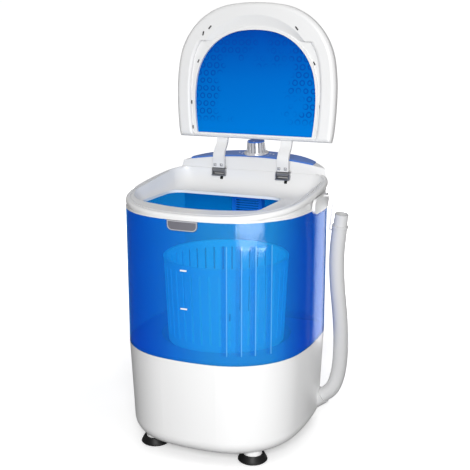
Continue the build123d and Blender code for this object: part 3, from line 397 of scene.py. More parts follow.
# %% The flutes' place on the tub
DEGREES = 180 / math.pi
FLUTE_ANGLES = (-67.6, -59.7, -52.1, -43.1)
FLUTE_HALF = 1.55
FLUTE_LOW = 0.213
FLUTE_HIGH = 0.407
SHADE_BAND_GAIN = 2.2
HIGHLIGHT_GAP = 0.1
HIGHLIGHT_HALF = 0.42
HIGHLIGHT_GAIN = 4.0


def flute_masks(r):
    """Shares of the flutes' painted shade bands and of the painted highlight lines beside them."""
    x, y, z = r.axes()
    turn = y.turn_from(x)
    inside = (z > FLUTE_LOW) * (z < FLUTE_HIGH)
    # Dark bands are painted shade; the lines beside them are painted highlights.
    shade_bands, lines = [], []
    for angle in FLUTE_ANGLES:
        away = (turn - math.radians(angle)) * DEGREES
        shade_bands.append(((FLUTE_HALF - away.size()) * SHADE_BAND_GAIN).clamped())
        beside = (away - FLUTE_HALF - HIGHLIGHT_GAP).size()
        lines.append(((HIGHLIGHT_HALF - beside) * HIGHLIGHT_GAIN).clamped())
    return sum(shade_bands[1:], shade_bands[0]) * inside, sum(lines[1:], lines[0]) * inside


print("flutes at", FLUTE_ANGLES, "degrees")

# %% [markdown]
# ## Zones of the tub
# Half-round flutes inside the front right of the tub bend the light away. Each
# flute carries painted shade, a darker band, with a painted highlight, a bright
# line, at its right. Around them the wall carries a painted glow, a lighter and
# fuller skin. The floor is nearly opaque, so that the machinery below it stays
# out of sight. Bands and glow zone are found by their angle about the tub's
# axis, and the floor by its height and by where it faces.

# %% Painted glow zone and floor
PAINTED_GLOW_START = -126.0
PAINTED_GLOW_RISE = 50.0
PAINTED_GLOW_END = -14.0
PAINTED_GLOW_FALL = 28.0
WELL_RADIUS = 0.130
FLOOR_LOW = 0.15
FLOOR_HIGH = 0.20
LEVEL = 0.8


def milky_mask(r):
    """Share of the fluted zone, where the wall carries a painted glow."""
    x, y = r.axes()[:2]
    turn = y.turn_from(x) * DEGREES
    rise = ((turn - PAINTED_GLOW_START) / PAINTED_GLOW_RISE).clamped()
    fall = ((PAINTED_GLOW_END - turn) / PAINTED_GLOW_FALL).clamped()
    return rise * fall


def floor_mask(r):
    """Share of the tub's floor and its well."""
    up = r.split(r.add("ShaderNodeNewGeometry", out=SURFACE_NORMAL))[2]
    x, y, z = r.axes()
    inside_well = (x * x + y * y) < WELL_RADIUS ** 2
    level = ((up > LEVEL) + inside_well).clamped()
    return level * (z < FLOOR_HIGH) * (z > FLOOR_LOW)


print("floor between", FLOOR_LOW, "and", FLOOR_HIGH, "m")

# %% [markdown]
# ## See-through walls
# One recipe serves the tub and the duct wall behind it. Facing, from the Layer
# Weight node, is 1 where a surface is seen edge-on; its fourth power keeps the
# skin thin until close to the edge.

# %% See-through blues
TONE_SPREAD = 0.12
EDGE_POWER = 4.0
PAINTED_GLOW_SHARE = 0.18
SHADE_BAND_SHARE = 0.07
HIGHLIGHT_SHARE = 0.13
TUB_SHARE = 0.9
WALL_IOR = 1.9


def clear_wall(name, tint, body, least, edge, fluted=False):
    """Tinted wall: clear in front view, fuller in colour towards its edges."""
    r = Recipe(name)
    edge_on = r.add("ShaderNodeLayerWeight", {}, {"Blend": 0.5}, out=FACING)
    low = rgb(*[c * (1 - TONE_SPREAD) for c in body])
    high = rgb(*[min(c * (1 + TONE_SPREAD), 1.0) for c in body])
    colour = r.blend(low, high, r.noise(11.0, 3.0))
    share = least + (edge_on ** EDGE_POWER) * edge
    if fluted:
        # Painted glow: a lighter, fuller skin over the fluted zone.
        painted_glow = milky_mask(r)
        colour = r.blend(colour, rgb(0.03, 0.50, 0.84), painted_glow)
        share = share + painted_glow * PAINTED_GLOW_SHARE
        # Painted shade in each flute's band, and a painted highlight in the line at its right.
        shade_band, line = flute_masks(r)
        colour = r.blend(colour, rgb(0.0, 0.20, 0.66), shade_band * 0.55)
        colour = r.blend(colour, rgb(0.24, 0.66, 1.0), line * 0.8)
        share = share + shade_band * SHADE_BAND_SHARE + line * HIGHLIGHT_SHARE
        floor = floor_mask(r)
        colour = r.blend(colour, rgb(0.0, 0.30, 0.80), floor)
        share = (share + floor).clamped() * TUB_SHARE
    skin = r.surface({
        "Base Color": colour,
        "Roughness": 0.12 + (r.noise(30.0, 3.0) - 0.5) * 0.05,
        "IOR": WALL_IOR,
    })
    return r.finish(r.mix(share, r.clear(rgb(*tint)), skin))


blue_clear = clear_wall("clear_blue_tub", (0.10, 0.58, 0.93), (0.0, 0.26, 1.0), 0.14, 0.35, True)
duct_clear = clear_wall("clear_blue_duct", (0.30, 0.82, 0.95), (0.0, 0.30, 0.60), 0.22, 0.4)
filter_blue = moulded("filter_blue", (0.0, 0.12, 0.55), (0.0, 0.16, 0.64), 0.36, 0.05, 0.3)
nut_blue = moulded("nut_blue", (0.02, 0.16, 0.6), (0.03, 0.2, 0.66), 0.25, 0.05, 0.3)
print("clear walls ready")

# %% [markdown]
# ## Frosted basket
# The spin basket is moulded in milky, nearly colourless plastic. Light enters
# it everywhere and wanders inside the wall before it leaves, so the basket
# glows evenly and its slots hardly look dark. A translucent share stands for
# that wandering light. An emission adds a painted glow, a light of its own that
# makes the basket brighter than the light reaching it through the tub would.

# %% Milky plastic
TRANSLUCENT_SHARE = 0.2
BASKET_PAINTED_GLOW = 0.85

r = Recipe("milky_basket")
cloud = r.noise(16.0, 3.0)
skin = r.surface({
    "Base Color": r.blend(rgb(0.80, 0.84, 0.85), rgb(0.88, 0.92, 0.93), cloud),
    "Roughness": 0.36 + (r.noise(44.0, 1.0) - 0.5) * 0.06,
    "Coat Weight": 0.2,
    "Normal": r.bump(r.noise(1500.0, 1.0), 0.06, 0.0004),
    # Painted glow: the basket emits a light of its own.
    "Emission Color": r.blend(rgb(0.14, 0.23, 0.25), rgb(0.19, 0.30, 0.33), cloud),
    "Emission Strength": BASKET_PAINTED_GLOW,
})
glow = r.add("ShaderNodeBsdfTranslucent", {}, {"Color": rgb(0.72, 0.88, 0.72)})
milky_basket = r.finish(r.mix(TRANSLUCENT_SHARE, skin, glow))
print("milky plastic ready")

# %% [markdown]
# ## Lid window
# The window is a tinted pane, deeper blue towards its top, with a print on it.
# The print is a simple field of little rings that fades towards the middle of
# the pane. The pane is divided into cells in staggered rows, so a ring only
# needs the distance from its cell's centre, and the fading only the distance
# from the pane's middle, measured so that it is 1 near the frame.

# %% Pane and rings
PANE_FOOT = 0.555
PANE_RISE = 0.205
CELL = 0.0148
CELLS_LEFT = 50.0
RING_RADIUS = 0.31
RING_WIDTH = 0.12
RING_GAIN = 12.0
RING_WANDER = 0.225

r = Recipe("lid_window_blue")
x, y, z = r.axes()
pane_tint = r.add("ShaderNodeValToRGB", {"stops": [
    (0.0, rgb(0.0, 0.235, 0.72)), (0.5, rgb(0.0, 0.178, 0.63)), (1.0, rgb(0.001, 0.070, 0.44)),
]}, {0: (z - PANE_FOOT) / PANE_RISE})
row = (z / CELL).whole()
across = (x / CELL + row * 0.5 + CELLS_LEFT).remainder() - 0.5
along = (z / CELL).remainder() - 0.5
radius = (across * across + along * along).root()
off_ring = radius - RING_RADIUS - (r.noise(70.0, 1.0) - 0.5) * RING_WANDER
ring = ((RING_WIDTH - off_ring.size()) * RING_GAIN).clamped()
print("rings in cells of", CELL, "m")

# %% Where the rings show, and the pane's finish
PANE_MIDDLE = 0.635
WIDTH_SQUARED = 0.0140
HEIGHT_SQUARED = 0.0150
CLEAR_MIDDLE = 0.60
FADE_GAIN = 4.0
PATCH_GAIN = 4.5
PRINT_FOOT = 0.575
FOOT_GAIN = 60.0
PANE_SHARE = 0.66

rise = z - PANE_MIDDLE
reach = ((x * x) / WIDTH_SQUARED + (rise * rise) / HEIGHT_SQUARED).root()
patch = (r.noise(34.0, 2.0) - 0.5) * PATCH_GAIN
border = ((reach - CLEAR_MIDDLE) * FADE_GAIN + patch).clamped()
above_foot = ((z - PRINT_FOOT) * FOOT_GAIN).clamped()
print_share = ring * border * above_foot
skin = r.surface({
    "Base Color": r.blend(pane_tint, rgb(0.002, 0.05, 0.32), print_share * 0.8),
    "Roughness": 0.16 + (r.noise(26.0, 3.0) - 0.5) * 0.05,
    "Specular IOR Level": 0.06,
})
clear = r.clear(rgb(0.05, 0.45, 0.93))
window_blue = r.finish(r.mix(PANE_SHARE + print_share * 0.2, clear, skin))
print("window ready")

# %% [markdown]
# ## Rubber and metals
# Rubber is dull and dusty with a pebbled skin. Plated steel carries the lines
# of the strip it was stamped from, bronze bushes are porous, and the motor's
# can has a satin coat of paint.


# %% Rubber, steel, bronze and paint
def rubber(name):
    """Black rubber under a thin, patchy film of dust."""
    r = Recipe(name)
    dust = r.noise(60.0, 5.0, 0.7)
    return r.finish(r.surface({
        "Base Color": r.blend(grey(0.004), rgb(0.016, 0.016, 0.017), dust ** 2),
        "Roughness": 0.45 + (dust - 0.5) * 0.25,
        "Specular IOR Level": 0.22,
        "Normal": r.bump(r.noise(900.0, 2.0), 0.3, 0.0006),
    }))


def brushed(name, dark, light, rough, stretch):
    """Metal with fine lines, by how much each axis squeezes them together."""
    r = Recipe(name)
    lines = r.add("ShaderNodeMapping", {}, {"Vector": r.place(), "Scale": stretch})
    grain = r.add("ShaderNodeTexNoise", {}, {"Vector": lines, "Scale": 60.0, "Detail": 4.0})
    return r.finish(r.surface({
        "Base Color": r.blend(rgb(*dark), rgb(*light), grain),
        "Metallic": 1.0,
        "Roughness": rough + (grain - 0.5) * 0.2,
        "Normal": r.bump(grain, 0.08, 0.0003),
    }))


black_rubber = rubber("black_rubber")
hinge_steel = brushed(
    "hinge_steel", (0.33, 0.33, 0.34), (0.46, 0.46, 0.47), 0.34, (1.0, 1.0, 30.0))
steel = brushed("bright_steel", (0.5, 0.5, 0.52), (0.68, 0.68, 0.70), 0.28, (1.0, 30.0, 1.0))
bronze = brushed("sintered_bronze", (0.42, 0.26, 0.10), (0.58, 0.38, 0.18), 0.5, (9.0, 9.0, 9.0))
motor_paint = moulded("motor_paint", (0.10, 0.105, 0.12), (0.14, 0.145, 0.16), 0.38, 0.3, 0.2)
print("metals ready")

# %% [markdown]
# ## Dress the CAD pieces
# Every CAD node keeps its shape and gets one of the finishes.

# %% Give each node its finish
FINISHES = {
    white_shell: ("base_housing", "bottom_cover"),
    shaded_white_top: ("top_frame", "hose_hook"),
    shaded_white_lid: ("lid_frame", "lid_cover", "lid_arm_left", "lid_arm_right"),
    blue_clear: ("tub_shell",),
    duct_clear: ("duct_wall",),
    window_blue: ("lid_window",),
    panel_blue: ("control_panel",),
    cap_blue: ("knob_cap",),
    filter_blue: ("overflow_filter",),
    nut_blue: ("basket_nut",),
    milky_basket: ("spin_basket", "pulsator"),
    pearl_grip: ("timer_knob",),
    grey_plate: ("badge_plate",),
    black_rubber: (
        "foot_front_left", "foot_rear_left", "foot_front_right", "foot_rear_right",
        "cord_gland", "shaft_seal", "drive_belt",
    ),
    hinge_steel: (
        "hinge_clip_left", "hinge_clip_right", "hinge_pin_left", "hinge_pin_right",
        "hinge_leaf_left", "hinge_leaf_right",
    ),
    steel: (
        "cover_screws", "bracket_screws", "drive_shaft", "motor_shaft", "motor_bracket",
        "timer_shaft",
    ),
    bronze: ("lower_bearing", "upper_bearing"),
    nylon_grey: ("drum_pulley", "motor_pulley", "run_capacitor"),
    motor_paint: ("motor_body",),
    dark_plastic: ("timer_unit", "wire_harness"),
    hose_grey: ("hose_spout", "drain_outlet", "drain_pipe"),
}


def dress(piece, material):
    """Give a piece one finish in place of what it has."""
    piece.data.materials.clear()
    piece.data.materials.append(material)


for material, names in FINISHES.items():
    for name in names:
        dress(nodes[name], material)
dress(hose, hose_grey)
left_plain = set(nodes) - {name for names in FINISHES.values() for name in names}
print("nodes without a finish", left_plain - {"drain_hose"})

# %% [markdown]
# ## Picking
# Small pieces are modelled as they would be by hand: a blank is added, then
# pressed and cut in edit mode. An operator works on all that is selected, so
# everything is deselected first, and faces and edges are picked by a test.


# %% Pick objects, faces and edges
def start_clean():
    """Object mode with nothing selected."""
    if bpy.context.object and bpy.context.object.mode != "OBJECT":
        bpy.ops.object.mode_set(mode="OBJECT")
    bpy.ops.object.select_all(action="DESELECT")


def take(*pieces):
    """Select only these pieces, with the first one active."""
    start_clean()
    for piece in pieces:
        piece.select_set(True)
    bpy.context.view_layer.objects.active = pieces[0]


def pick(piece, test, kind="faces"):
    """In edit mode, select the faces or edges for which the test holds."""
    mesh = bmesh.from_edit_mesh(piece.data)
    for part in (*mesh.verts, *mesh.edges, *mesh.faces):
        part.select = False
    for part in getattr(mesh, kind):
        if test(part):
            part.select_set(True)
    bmesh.update_edit_mesh(piece.data)


def looks_up(face):
    return face.normal.z > 0.9


def stands_upright(edge):
    return edge.verts[0].co.xy == edge.verts[1].co.xy


print("picking ready")

# %% [markdown]
# ## Settling and signing off
# A finished piece has its modifiers applied and its place in its mesh. Then it
# gets its shading and finish, rides on a body and names a material slot.


# %% Settle, join and sign off
def settle(piece, name):
    """Apply modifiers and place, so that the object sits at the origin."""
    take(piece)
    bpy.ops.object.convert(target="MESH")
    piece = bpy.context.object
    bpy.ops.object.transform_apply(location=True, rotation=True, scale=True)
    piece.name = name
    piece.data.name = name
    return piece


def joined(pieces, name):
    """Several finished meshes as one piece."""
    take(*pieces)
    bpy.ops.object.join()
    return settle(bpy.context.object, name)


def sign_off(piece, body, material):
    """Soft shading, finish, body and slot for one finished piece."""
    take(piece)
    bpy.ops.object.shade_smooth_by_angle(angle=math.radians(35.0))
    dress(piece, material)
    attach(piece, body)


print("signing off ready")

# %% [markdown]
# ## Blanks
# Most small pieces here are blocks with round corners, some with a pocket
# pressed into them. Each is made lying flat at the origin, facing up, and a
# matrix then stands it on its surface.


# %% Blocks, pockets and copies
def rounded(size, corner, soften=0.0):
    """Block on z = 0 with round corners and, if asked, a soft top edge."""
    start_clean()
    bpy.ops.mesh.primitive_cube_add(size=1, location=(0, 0, size[2] / 2))
    piece = bpy.context.object
    piece.scale = size
    piece = settle(piece, "blank")
    bpy.ops.object.mode_set(mode="EDIT")
    pick(piece, stands_upright, "edges")
    bpy.ops.mesh.bevel(offset=corner, segments=4)
    if soften:
        pick(piece, looks_up)
        bpy.ops.mesh.bevel(offset=soften, segments=2)
    bpy.ops.object.mode_set(mode="OBJECT")
    return piece


def socket(size, corner, rim, depth):
    """Rounded block with a pocket pressed into its top."""
    piece = rounded(size, corner)
    bpy.ops.object.mode_set(mode="EDIT")
    pick(piece, looks_up)
    bpy.ops.mesh.inset(thickness=rim)
    bpy.ops.mesh.inset(thickness=rim * 0.1, depth=-depth)
    bpy.ops.object.mode_set(mode="OBJECT")
    return piece


def copy_of(piece, matrix):
    """A copy with its own mesh, moved by a matrix."""
    twin = piece.copy()
    twin.data = piece.data.copy()
    scene.collection.objects.link(twin)
    twin.data.transform(matrix)
    return twin


def facing(place, normal, spin=0.0):
    """Matrix that stands a piece made along +Z on a surface."""
    turn = Vector(normal).to_track_quat("Z", "Y").to_matrix().to_4x4()
    return Matrix.Translation(place) @ turn @ Matrix.Rotation(spin, 4, "Z")


print("blanks ready")

# %% [markdown]
# ## Screws on the hinge arms
# Two screws hold each arm to its hinge leaf. Each sits in a square pocket of
# dark plastic, painted shade for the recess. One pocket and one pan head with a
# cross pressed into it are made, and the rest are copies.

# %% A screw head
SCREW_RADIUS = 0.0019
SCREW_HEIGHT = 0.0012
SCREW_EDGE = 0.0005
CROSS_SIZE = (SCREW_RADIUS * 1.15, SCREW_RADIUS * 0.32, SCREW_HEIGHT * 0.9)


def screw_head():
    """Pan head facing +Z, standing on z = 0, with a cross recess."""
    start_clean()
    bpy.ops.mesh.primitive_cylinder_add(
        vertices=24, radius=SCREW_RADIUS, depth=SCREW_HEIGHT, location=(0, 0, SCREW_HEIGHT / 2))
    piece = bpy.context.object
    bpy.ops.object.mode_set(mode="EDIT")
    pick(piece, looks_up)
    bpy.ops.mesh.bevel(offset=SCREW_EDGE, segments=3)
    bpy.ops.object.mode_set(mode="OBJECT")
    head = settle(piece, "screw_head")
    for turn in (0.0, math.pi / 2):
        start_clean()
        bpy.ops.mesh.primitive_cube_add(
            size=1, location=(0, 0, SCREW_HEIGHT), rotation=(0, 0, turn))
        cutter = bpy.context.object
        cutter.scale = CROSS_SIZE
        cut = head.modifiers.new("cross", "BOOLEAN")
        cut.object = cutter
        cut.solver = "EXACT"
        take(head)
        bpy.ops.object.modifier_apply(modifier=cut.name)
        bpy.data.objects.remove(cutter)
    return head


head = screw_head()
print("screw head with", len(head.data.polygons), "faces")

# %% Pockets and screws on both arms
FORWARD = (0, -1, 0)
POCKET_SIZE = (0.0054, 0.0052, 0.0009)
POCKET_CORNER = 0.0006
POCKET_RIM = 0.0005
POCKET_DEPTH = 0.0006
POCKET_SUNK = 0.0004
POCKET_PLACES = (-0.0070, 0.0064)
POCKET_HEIGHT = 0.4970
SCREW_SHIFT = Vector((-0.0007, -0.0001, -0.0006))
SCREW_TURN = 0.3
TURN_ACROSS = 90

pocket = socket(POCKET_SIZE, POCKET_CORNER, POCKET_RIM, POCKET_DEPTH)
for side in ("left", "right"):
    low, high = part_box("lid_arm_" + side)
    middle = (low.x + high.x) / 2
    pockets = []
    heads = []
    for across in POCKET_PLACES:
        place = Vector((middle + across, low.y + POCKET_SUNK, POCKET_HEIGHT))
        pockets.append(copy_of(pocket, facing(place, FORWARD)))
        turn = SCREW_TURN + across * TURN_ACROSS
        heads.append(copy_of(head, facing(place + SCREW_SHIFT, FORWARD, turn)))
    # The pockets are dark plastic: painted shade.
    sign_off(joined(pockets, "arm_pockets_" + side), "lid", dark_plastic)
    sign_off(joined(heads, "arm_screws_" + side), "lid", steel)
bpy.data.objects.remove(head)
bpy.data.objects.remove(pocket)
print("arm screws at z", POCKET_HEIGHT)

# %% [markdown]
# ## Snap clips of the lid
# The lid's two skins are held by plastic tongues in slots in the flat band
# round the window, and three more slits lie on the rim. Each slot and slit
# holds a dark block, painted shade for the opening. The lid is drawn in its own
# leaning plane, so one matrix carries a piece from that plane into the room.

# %% Tongues and slits
HINGE_LINE = (0.0, 0.119, 0.486)
LID_LEAN = math.radians(2.0)
LID_PLANE = Matrix.Translation(HINGE_LINE) @ Matrix((
    (1.0, 0.0, 0.0, 0.0),
    (0.0, math.sin(LID_LEAN), -math.cos(LID_LEAN), 0.0),
    (0.0, math.cos(LID_LEAN), math.sin(LID_LEAN), 0.0),
    (0.0, 0.0, 0.0, 1.0),
))
BAND_LEVEL = -0.01035
TONGUE_SIZE = (0.0027, 0.0066, 0.0018)
TONGUE_SUNK = 0.0004
TONGUE_PLACES = ((0.1305, 0.081, 0.0), (0.1335, 0.130, 0.0), (0.1195, 0.210, 28.0))
SLIT_SIZE = (0.0026, 0.0086, 0.0007)
SLIT_NORMAL = (0, -1, 0.03)
SLIT_PLACES = (
    ((-0.1060, 0.1317, 0.7491), -12.0), ((-0.0919, 0.1321, 0.7605), -42.0),
    ((0.0857, 0.1321, 0.7596), 38.0),
)

tongue = socket(TONGUE_SIZE, 0.0008, 0.0005, 0.0004)
tongues = []
for way in (-1, 1):
    for x, y, turn in TONGUE_PLACES:
        place = Matrix.Translation((way * x, y, BAND_LEVEL - TONGUE_SUNK - TONGUE_SIZE[2]))
        spin = Matrix.Rotation(math.radians(way * turn), 4, "Z")
        tongues.append(copy_of(tongue, LID_PLANE @ place @ spin))
bpy.data.objects.remove(tongue)
# Dark plastic in the slots: painted shade.
sign_off(joined(tongues, "lid_slot_shade"), "lid", dark_plastic)
slit = socket(SLIT_SIZE, 0.0011, 0.0005, 0.0004)
slits = [
    copy_of(slit, facing(place, SLIT_NORMAL, math.radians(turn)))
    for place, turn in SLIT_PLACES
]
bpy.data.objects.remove(slit)
# Dark plastic in the slits: painted shade.
sign_off(joined(slits, "lid_rim_slit_shade"), "lid", dark_plastic)
print(len(tongues), "tongues,", len(slits), "slits")

# %% [markdown]
# ## Hinge stops
# Below each hinge clip a white pad with a dark rubber peg meets the lid's arm
# when it is opened. Both lie on the slanting rear wall of the basin.

# %% Stops
STOP_NORMAL = (0.0, -0.92, 0.39)
PAD_SIZE = (0.0260, 0.0066, 0.0014)
PEG_SIZE = (0.0060, 0.0066, 0.0026)
PEG_SHIFT = Vector((0.0068, 0, 0))
STOP_PLACES = {"left": Vector((-0.067, 0.1160, 0.4714)), "right": Vector((0.067, 0.1160, 0.4714))}

for side, place in STOP_PLACES.items():
    pad = rounded(PAD_SIZE, 0.0015, 0.0005)
    pad.data.transform(facing(place, STOP_NORMAL))
    pad.name = "stop_pad_" + side
    sign_off(pad, "cabinet", shaded_white_lid)
    peg = rounded(PEG_SIZE, 0.0012, 0.0006)
    peg.data.transform(facing(place + PEG_SHIFT, STOP_NORMAL))
    peg.name = "stop_peg_" + side
    sign_off(peg, "cabinet", black_rubber)
print("stops on the basin's rear wall")

# %% [markdown]
# ## Dial marks
# The panel is narrow, so only the marks at the knob's sides fit on it: short
# strokes for minutes, with figures at the sides. A pale line on the knob's cap
# points at them. The figures are text made into a mesh.

# %% Strokes
PANEL_TOP = 0.51902
PANEL_PLANE = (
    Matrix.Translation((0.0, KNOB_AXIS_Y, PANEL_TOP)) @ Matrix.Rotation(PANEL_TILT, 4, "X")
)
STROKE_SIZE = (0.0008, 0.0034, 0.00028)
STROKE_RADIUS = 0.0282
STROKE_SUNK = 0.0001
STROKE_MINUTES = (2.5, 3.0, 3.5, 8.5, 9.0, 9.5)
DEGREES_PER_MINUTE = 30.0


def dial_turn(minute):
    """Matrix that turns the direction of +X to a minute of the scale."""
    return Matrix.Rotation(math.radians(-90.0 - DEGREES_PER_MINUTE * minute), 4, "Z")


stroke = rounded(STROKE_SIZE, 0.0002)
at_rim = Matrix.Translation((STROKE_RADIUS, 0, -STROKE_SUNK))
lying = at_rim @ Matrix.Rotation(math.pi / 2, 4, "Z")
strokes = [
    copy_of(stroke, PANEL_PLANE @ dial_turn(minute) @ lying) for minute in STROKE_MINUTES
]
bpy.data.objects.remove(stroke)
sign_off(joined(strokes, "dial_strokes"), "cabinet", shaded_white_lid)
print("strokes for minutes", STROKE_MINUTES)

# %% Figures and pointer
FIGURE_RADIUS = 0.0358
FIGURE_SIZE = 0.0072
FIGURE_THICKNESS = 0.00014
FIGURE_LIFT = 0.00004
POINTER_SIZE = (0.0012, 0.0085, 0.0004)
POINTER_PLACE = (0, -0.0105, 0.0258)

figures = []
for minute in (3, 9):
    start_clean()
    bpy.ops.object.text_add()
    figure = bpy.context.object
    figure.data.body = str(minute)
    figure.data.size = FIGURE_SIZE
    figure.data.extrude = FIGURE_THICKNESS
    figure.data.align_x = "CENTER"
    figure.data.align_y = "CENTER"
    figure = settle(figure, "figure")
    middle = dial_turn(minute) @ Vector((FIGURE_RADIUS, 0, FIGURE_LIFT))
    figure.data.transform(PANEL_PLANE @ Matrix.Translation(middle))
    figures.append(figure)
sign_off(joined(figures, "dial_figures"), "cabinet", shaded_white_lid)

pointer = rounded(POINTER_SIZE, 0.0005, 0.0001)
pointer.data.transform(PANEL_PLANE @ Matrix.Translation(POINTER_PLACE))
pointer.name = "cap_pointer"
sign_off(pointer, "knob", shaded_white_lid)
print(len(figures), "figures and a pointer")

# %% [markdown]
# ## Water-level marks
# Two short raised bars on the tub show the water levels. Each is a block cut
# into strips, whose points are then laid on the curve of the tub's front.

# %% The tub's front
FRONT_RADIUS = 0.3613
FRONT_DEPTH = 0.1763
SHELL_TOP = 0.4469
SEAM = 0.1953
SEAM_INSET = 0.0012


def front_of_tub(x, z):
    """The tub's front surface, an arc that draws in slightly towards the seam."""
    inset = SEAM_INSET * (SHELL_TOP - z) / (SHELL_TOP - SEAM)
    radius = FRONT_RADIUS - inset
    centre = FRONT_RADIUS - FRONT_DEPTH
    return centre - math.sqrt(radius ** 2 - x ** 2)


print("tub's front at y", round(front_of_tub(0.0, SHELL_TOP), 4))

# %% Level marks
MARK_SIZE = (0.0125, 0.0012, 0.0028)
MARK_EDGE = 0.0004
MARK_X = -0.002
MARK_HEIGHTS = {"level_mark_full": 0.360, "level_mark_half": 0.292}


def level_mark(name, x, z):
    """Bar that follows the tub's front, with softened edges."""
    start_clean()
    bpy.ops.mesh.primitive_cube_add(size=1, location=(x, 0, z))
    piece = bpy.context.object
    piece.scale = MARK_SIZE
    bpy.ops.object.mode_set(mode="EDIT")
    bpy.ops.mesh.subdivide(number_cuts=3)
    bpy.ops.object.mode_set(mode="OBJECT")
    piece = settle(piece, name)
    for vertex in piece.data.vertices:
        vertex.co.y += front_of_tub(vertex.co.x, vertex.co.z)
    soften = piece.modifiers.new("edges", "BEVEL")
    soften.width = MARK_EDGE
    soften.segments = 2
    soften.limit_method = "ANGLE"
    return settle(piece, name)


for name, height in MARK_HEIGHTS.items():
    sign_off(level_mark(name, MARK_X, height), "cabinet", shaded_white_lid)
print("level marks at", list(MARK_HEIGHTS.values()))

# %% [markdown]
# ## Rim of the name plate
# The plate is left blank. Its rim is a raised border: a grid is drawn into the
# plate's outline, inset, emptied but for its border, laid on the tub's curve
# and given a thickness.

# %% Plate rim
PLATE_CORNER = 0.009
PLATE_EDGE = 0.0006
RIM_WIDTH = 0.0012
RIM_STANDS = 0.0022
RIM_THICKNESS = 0.0007

low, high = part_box("badge_plate")
centre_x = (high.x + low.x) / 2
half = (high.x - low.x) / 2 - PLATE_EDGE
top = high.z - PLATE_EDGE


def plate_bottom(x):
    """Lower edge of the plate, with its two round corners."""
    out = max(abs(x - centre_x) - (half - PLATE_CORNER), 0.0)
    return low.z + PLATE_EDGE + PLATE_CORNER - math.sqrt(max(PLATE_CORNER ** 2 - out ** 2, 0.0))


start_clean()
bpy.ops.mesh.primitive_grid_add(
    x_subdivisions=40, y_subdivisions=6, size=2, rotation=(math.pi / 2, 0, 0))
rim = settle(bpy.context.object, "badge_rim")
for vertex in rim.data.vertices:
    across, share = vertex.co.x, (vertex.co.z + 1) / 2
    vertex.co.x = centre_x + half * math.sin(across * math.pi / 2)
    bottom = plate_bottom(vertex.co.x)
    vertex.co.z = bottom + (top - bottom) * share
bpy.ops.object.mode_set(mode="EDIT")
bpy.ops.mesh.select_all(action="SELECT")
bpy.ops.mesh.inset(thickness=RIM_WIDTH, use_boundary=True)
bpy.ops.mesh.delete(type="FACE")
bpy.ops.object.mode_set(mode="OBJECT")
for vertex in rim.data.vertices:
    vertex.co.y = front_of_tub(vertex.co.x, vertex.co.z) - RIM_STANDS
thick = rim.modifiers.new("thick", "SOLIDIFY")
thick.thickness = RIM_THICKNESS
thick.offset = 0
rim = settle(rim, "badge_rim")
sign_off(rim, "cabinet", plate_rim)
print("plate rim", round(2 * half, 4), "m wide")

# %% [markdown]
# ## Stage
# The picture is taken as a cut-out: the floor and the wall behind are plain
# white, while the light that falls on the object comes from a dim room with a
# bright ceiling, which gives the white mouldings their grey edges. Cycles can
# do both at once, because a shader may answer the camera's own rays with one
# brightness and the rays that carry light with another. Through the clear tub
# the camera sees a grey surround instead of the paper, as in the studio.
# Near the object the paper glows less of its own, so that the shadows show.

# %% What the camera's own rays see
BEHIND_CLEAR = 0.57


def seen_directly(r):
    """1 for camera rays that met nothing clear, and 1 for those that did."""
    from_camera = r.add("ShaderNodeLightPath")
    outputs = from_camera.socket.node.outputs
    passed = Signal(r, outputs["Transparent Depth"]) > 0.5
    return from_camera * (1 - passed), from_camera * passed


print("behind clear parts the paper is", BEHIND_CLEAR)

# %% Floor
FLOOR_SIZE = 160.0
FLOOR_TONE = 0.22
SHADOW_NEAR = 0.35
SHADOW_FAR = 1.0
GLOW_NEAR = 0.30
GLOW_FAR = 0.74

start_clean()
bpy.ops.mesh.primitive_plane_add(size=FLOOR_SIZE, location=(0, 0, 0))
floor = bpy.context.object
floor.name = "studio_floor"
r = Recipe("pale_floor")
seen, through = seen_directly(r)
x, y = r.axes()[:2]
away = (x * x + y * y).root()
beyond_shadow = ((away - SHADOW_NEAR) / (SHADOW_FAR - SHADOW_NEAR)).clamped()
paper = r.surface({
    "Base Color": r.blend(grey(0.90), grey(0.93), r.noise(2.0, 2.0)),
    "Roughness": 0.9,
    "Specular IOR Level": 0.1,
    "Emission Color": r.blend(grey(GLOW_NEAR), grey(GLOW_FAR), beyond_shadow),
    "Emission Strength": 1.0,
})
dark_floor = r.surface({"Base Color": grey(FLOOR_TONE), "Roughness": 0.9})
surround = r.add("ShaderNodeEmission", {}, {"Color": grey(1.0), "Strength": BEHIND_CLEAR})
dress(floor, r.finish(r.mix(seen, r.mix(through, dark_floor, surround), paper)))
print("floor", FLOOR_SIZE, "m wide")

# %% Room
ROOM_DIM = 0.13
ROOM_CEILING = 0.48
ROOM_WALL = 0.27
WALL_START = 0.5
WALL_GAIN = 2.4
CEILING_GAIN = 1.4
PAPER_WHITE = 1.02

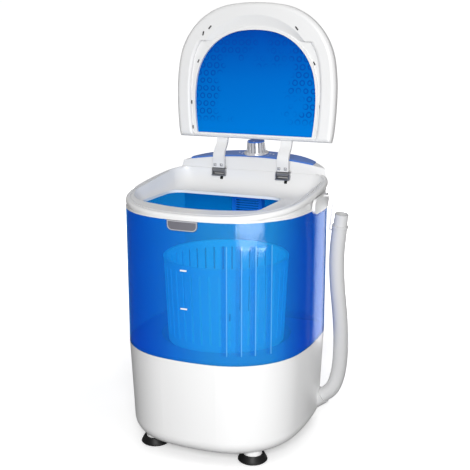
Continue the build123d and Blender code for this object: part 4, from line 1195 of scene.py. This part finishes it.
world = bpy.data.worlds.new("studio_room")
scene.world = world
r = Recipe("studio_room", world)
side, ahead, up = r.split(r.add("ShaderNodeTexCoord"))
behind = ahead * math.cos(AZIMUTH) - side * math.sin(AZIMUTH)
wall = ((behind - WALL_START) * WALL_GAIN).clamped() * (ROOM_WALL - ROOM_DIM)
ceiling = (up * CEILING_GAIN).clamped() * (ROOM_CEILING - ROOM_DIM)
room = ROOM_DIM + wall.or_more(ceiling)
seen, through = seen_directly(r)
strength = seen * PAPER_WHITE + through * BEHIND_CLEAR + (1 - seen - through) * room
backdrop = r.add("ShaderNodeBackground", {}, {"Color": grey(1.0), "Strength": strength})
r.add("ShaderNodeOutputWorld", {}, {"Surface": backdrop})
scene.view_settings.view_transform = "Standard"
print("room from", ROOM_DIM, "to", ROOM_CEILING)

# %% [markdown]
# ## Lamps
# A large soft lamp beside the camera is the key, so that surfaces grow grey as
# they turn away from the viewer. A low softbox shows as the pale patch on the
# tub, and a narrow one at the right as the bright strip along the tub's edge.
# A rear lamp lights the back for the other views. It is kept out of
# reflections, because it would whiten the panel and the rims.


# %% Lamps
def lamp(name, place, aim, size, power):
    """Soft rectangular lamp that points at a place."""
    data = bpy.data.lights.new(name, "AREA")
    data.shape = "RECTANGLE"
    data.size, data.size_y = size
    data.energy = power
    piece = bpy.data.objects.new(name, data)
    scene.collection.objects.link(piece)
    piece.visible_camera = False
    piece.location = place
    way = Vector(aim) - Vector(place)
    piece.rotation_mode = "QUATERNION"
    piece.rotation_quaternion = way.to_track_quat("-Z", "Y")
    return piece


lamp("key_lamp", (0.85, -2.20, 1.20), (0.0, 0.0, 0.3), (1.0, 0.9), 54.0)
lamp("patch_softbox", (0.90, -0.91, 0.21), (0.11, -0.15, 0.26), (0.90, 0.14), 4.2)
lamp("strip_softbox", (0.267, 0.51, 0.18), (0.172, 0.02, 0.20), (0.09, 0.34), 0.45)
rear = lamp("rear_lamp", (-0.9, 2.5, 0.42), (0.0, 0.1, 0.38), (1.4, 0.7), 30.0)
rear.visible_glossy = False
print("lamps placed")
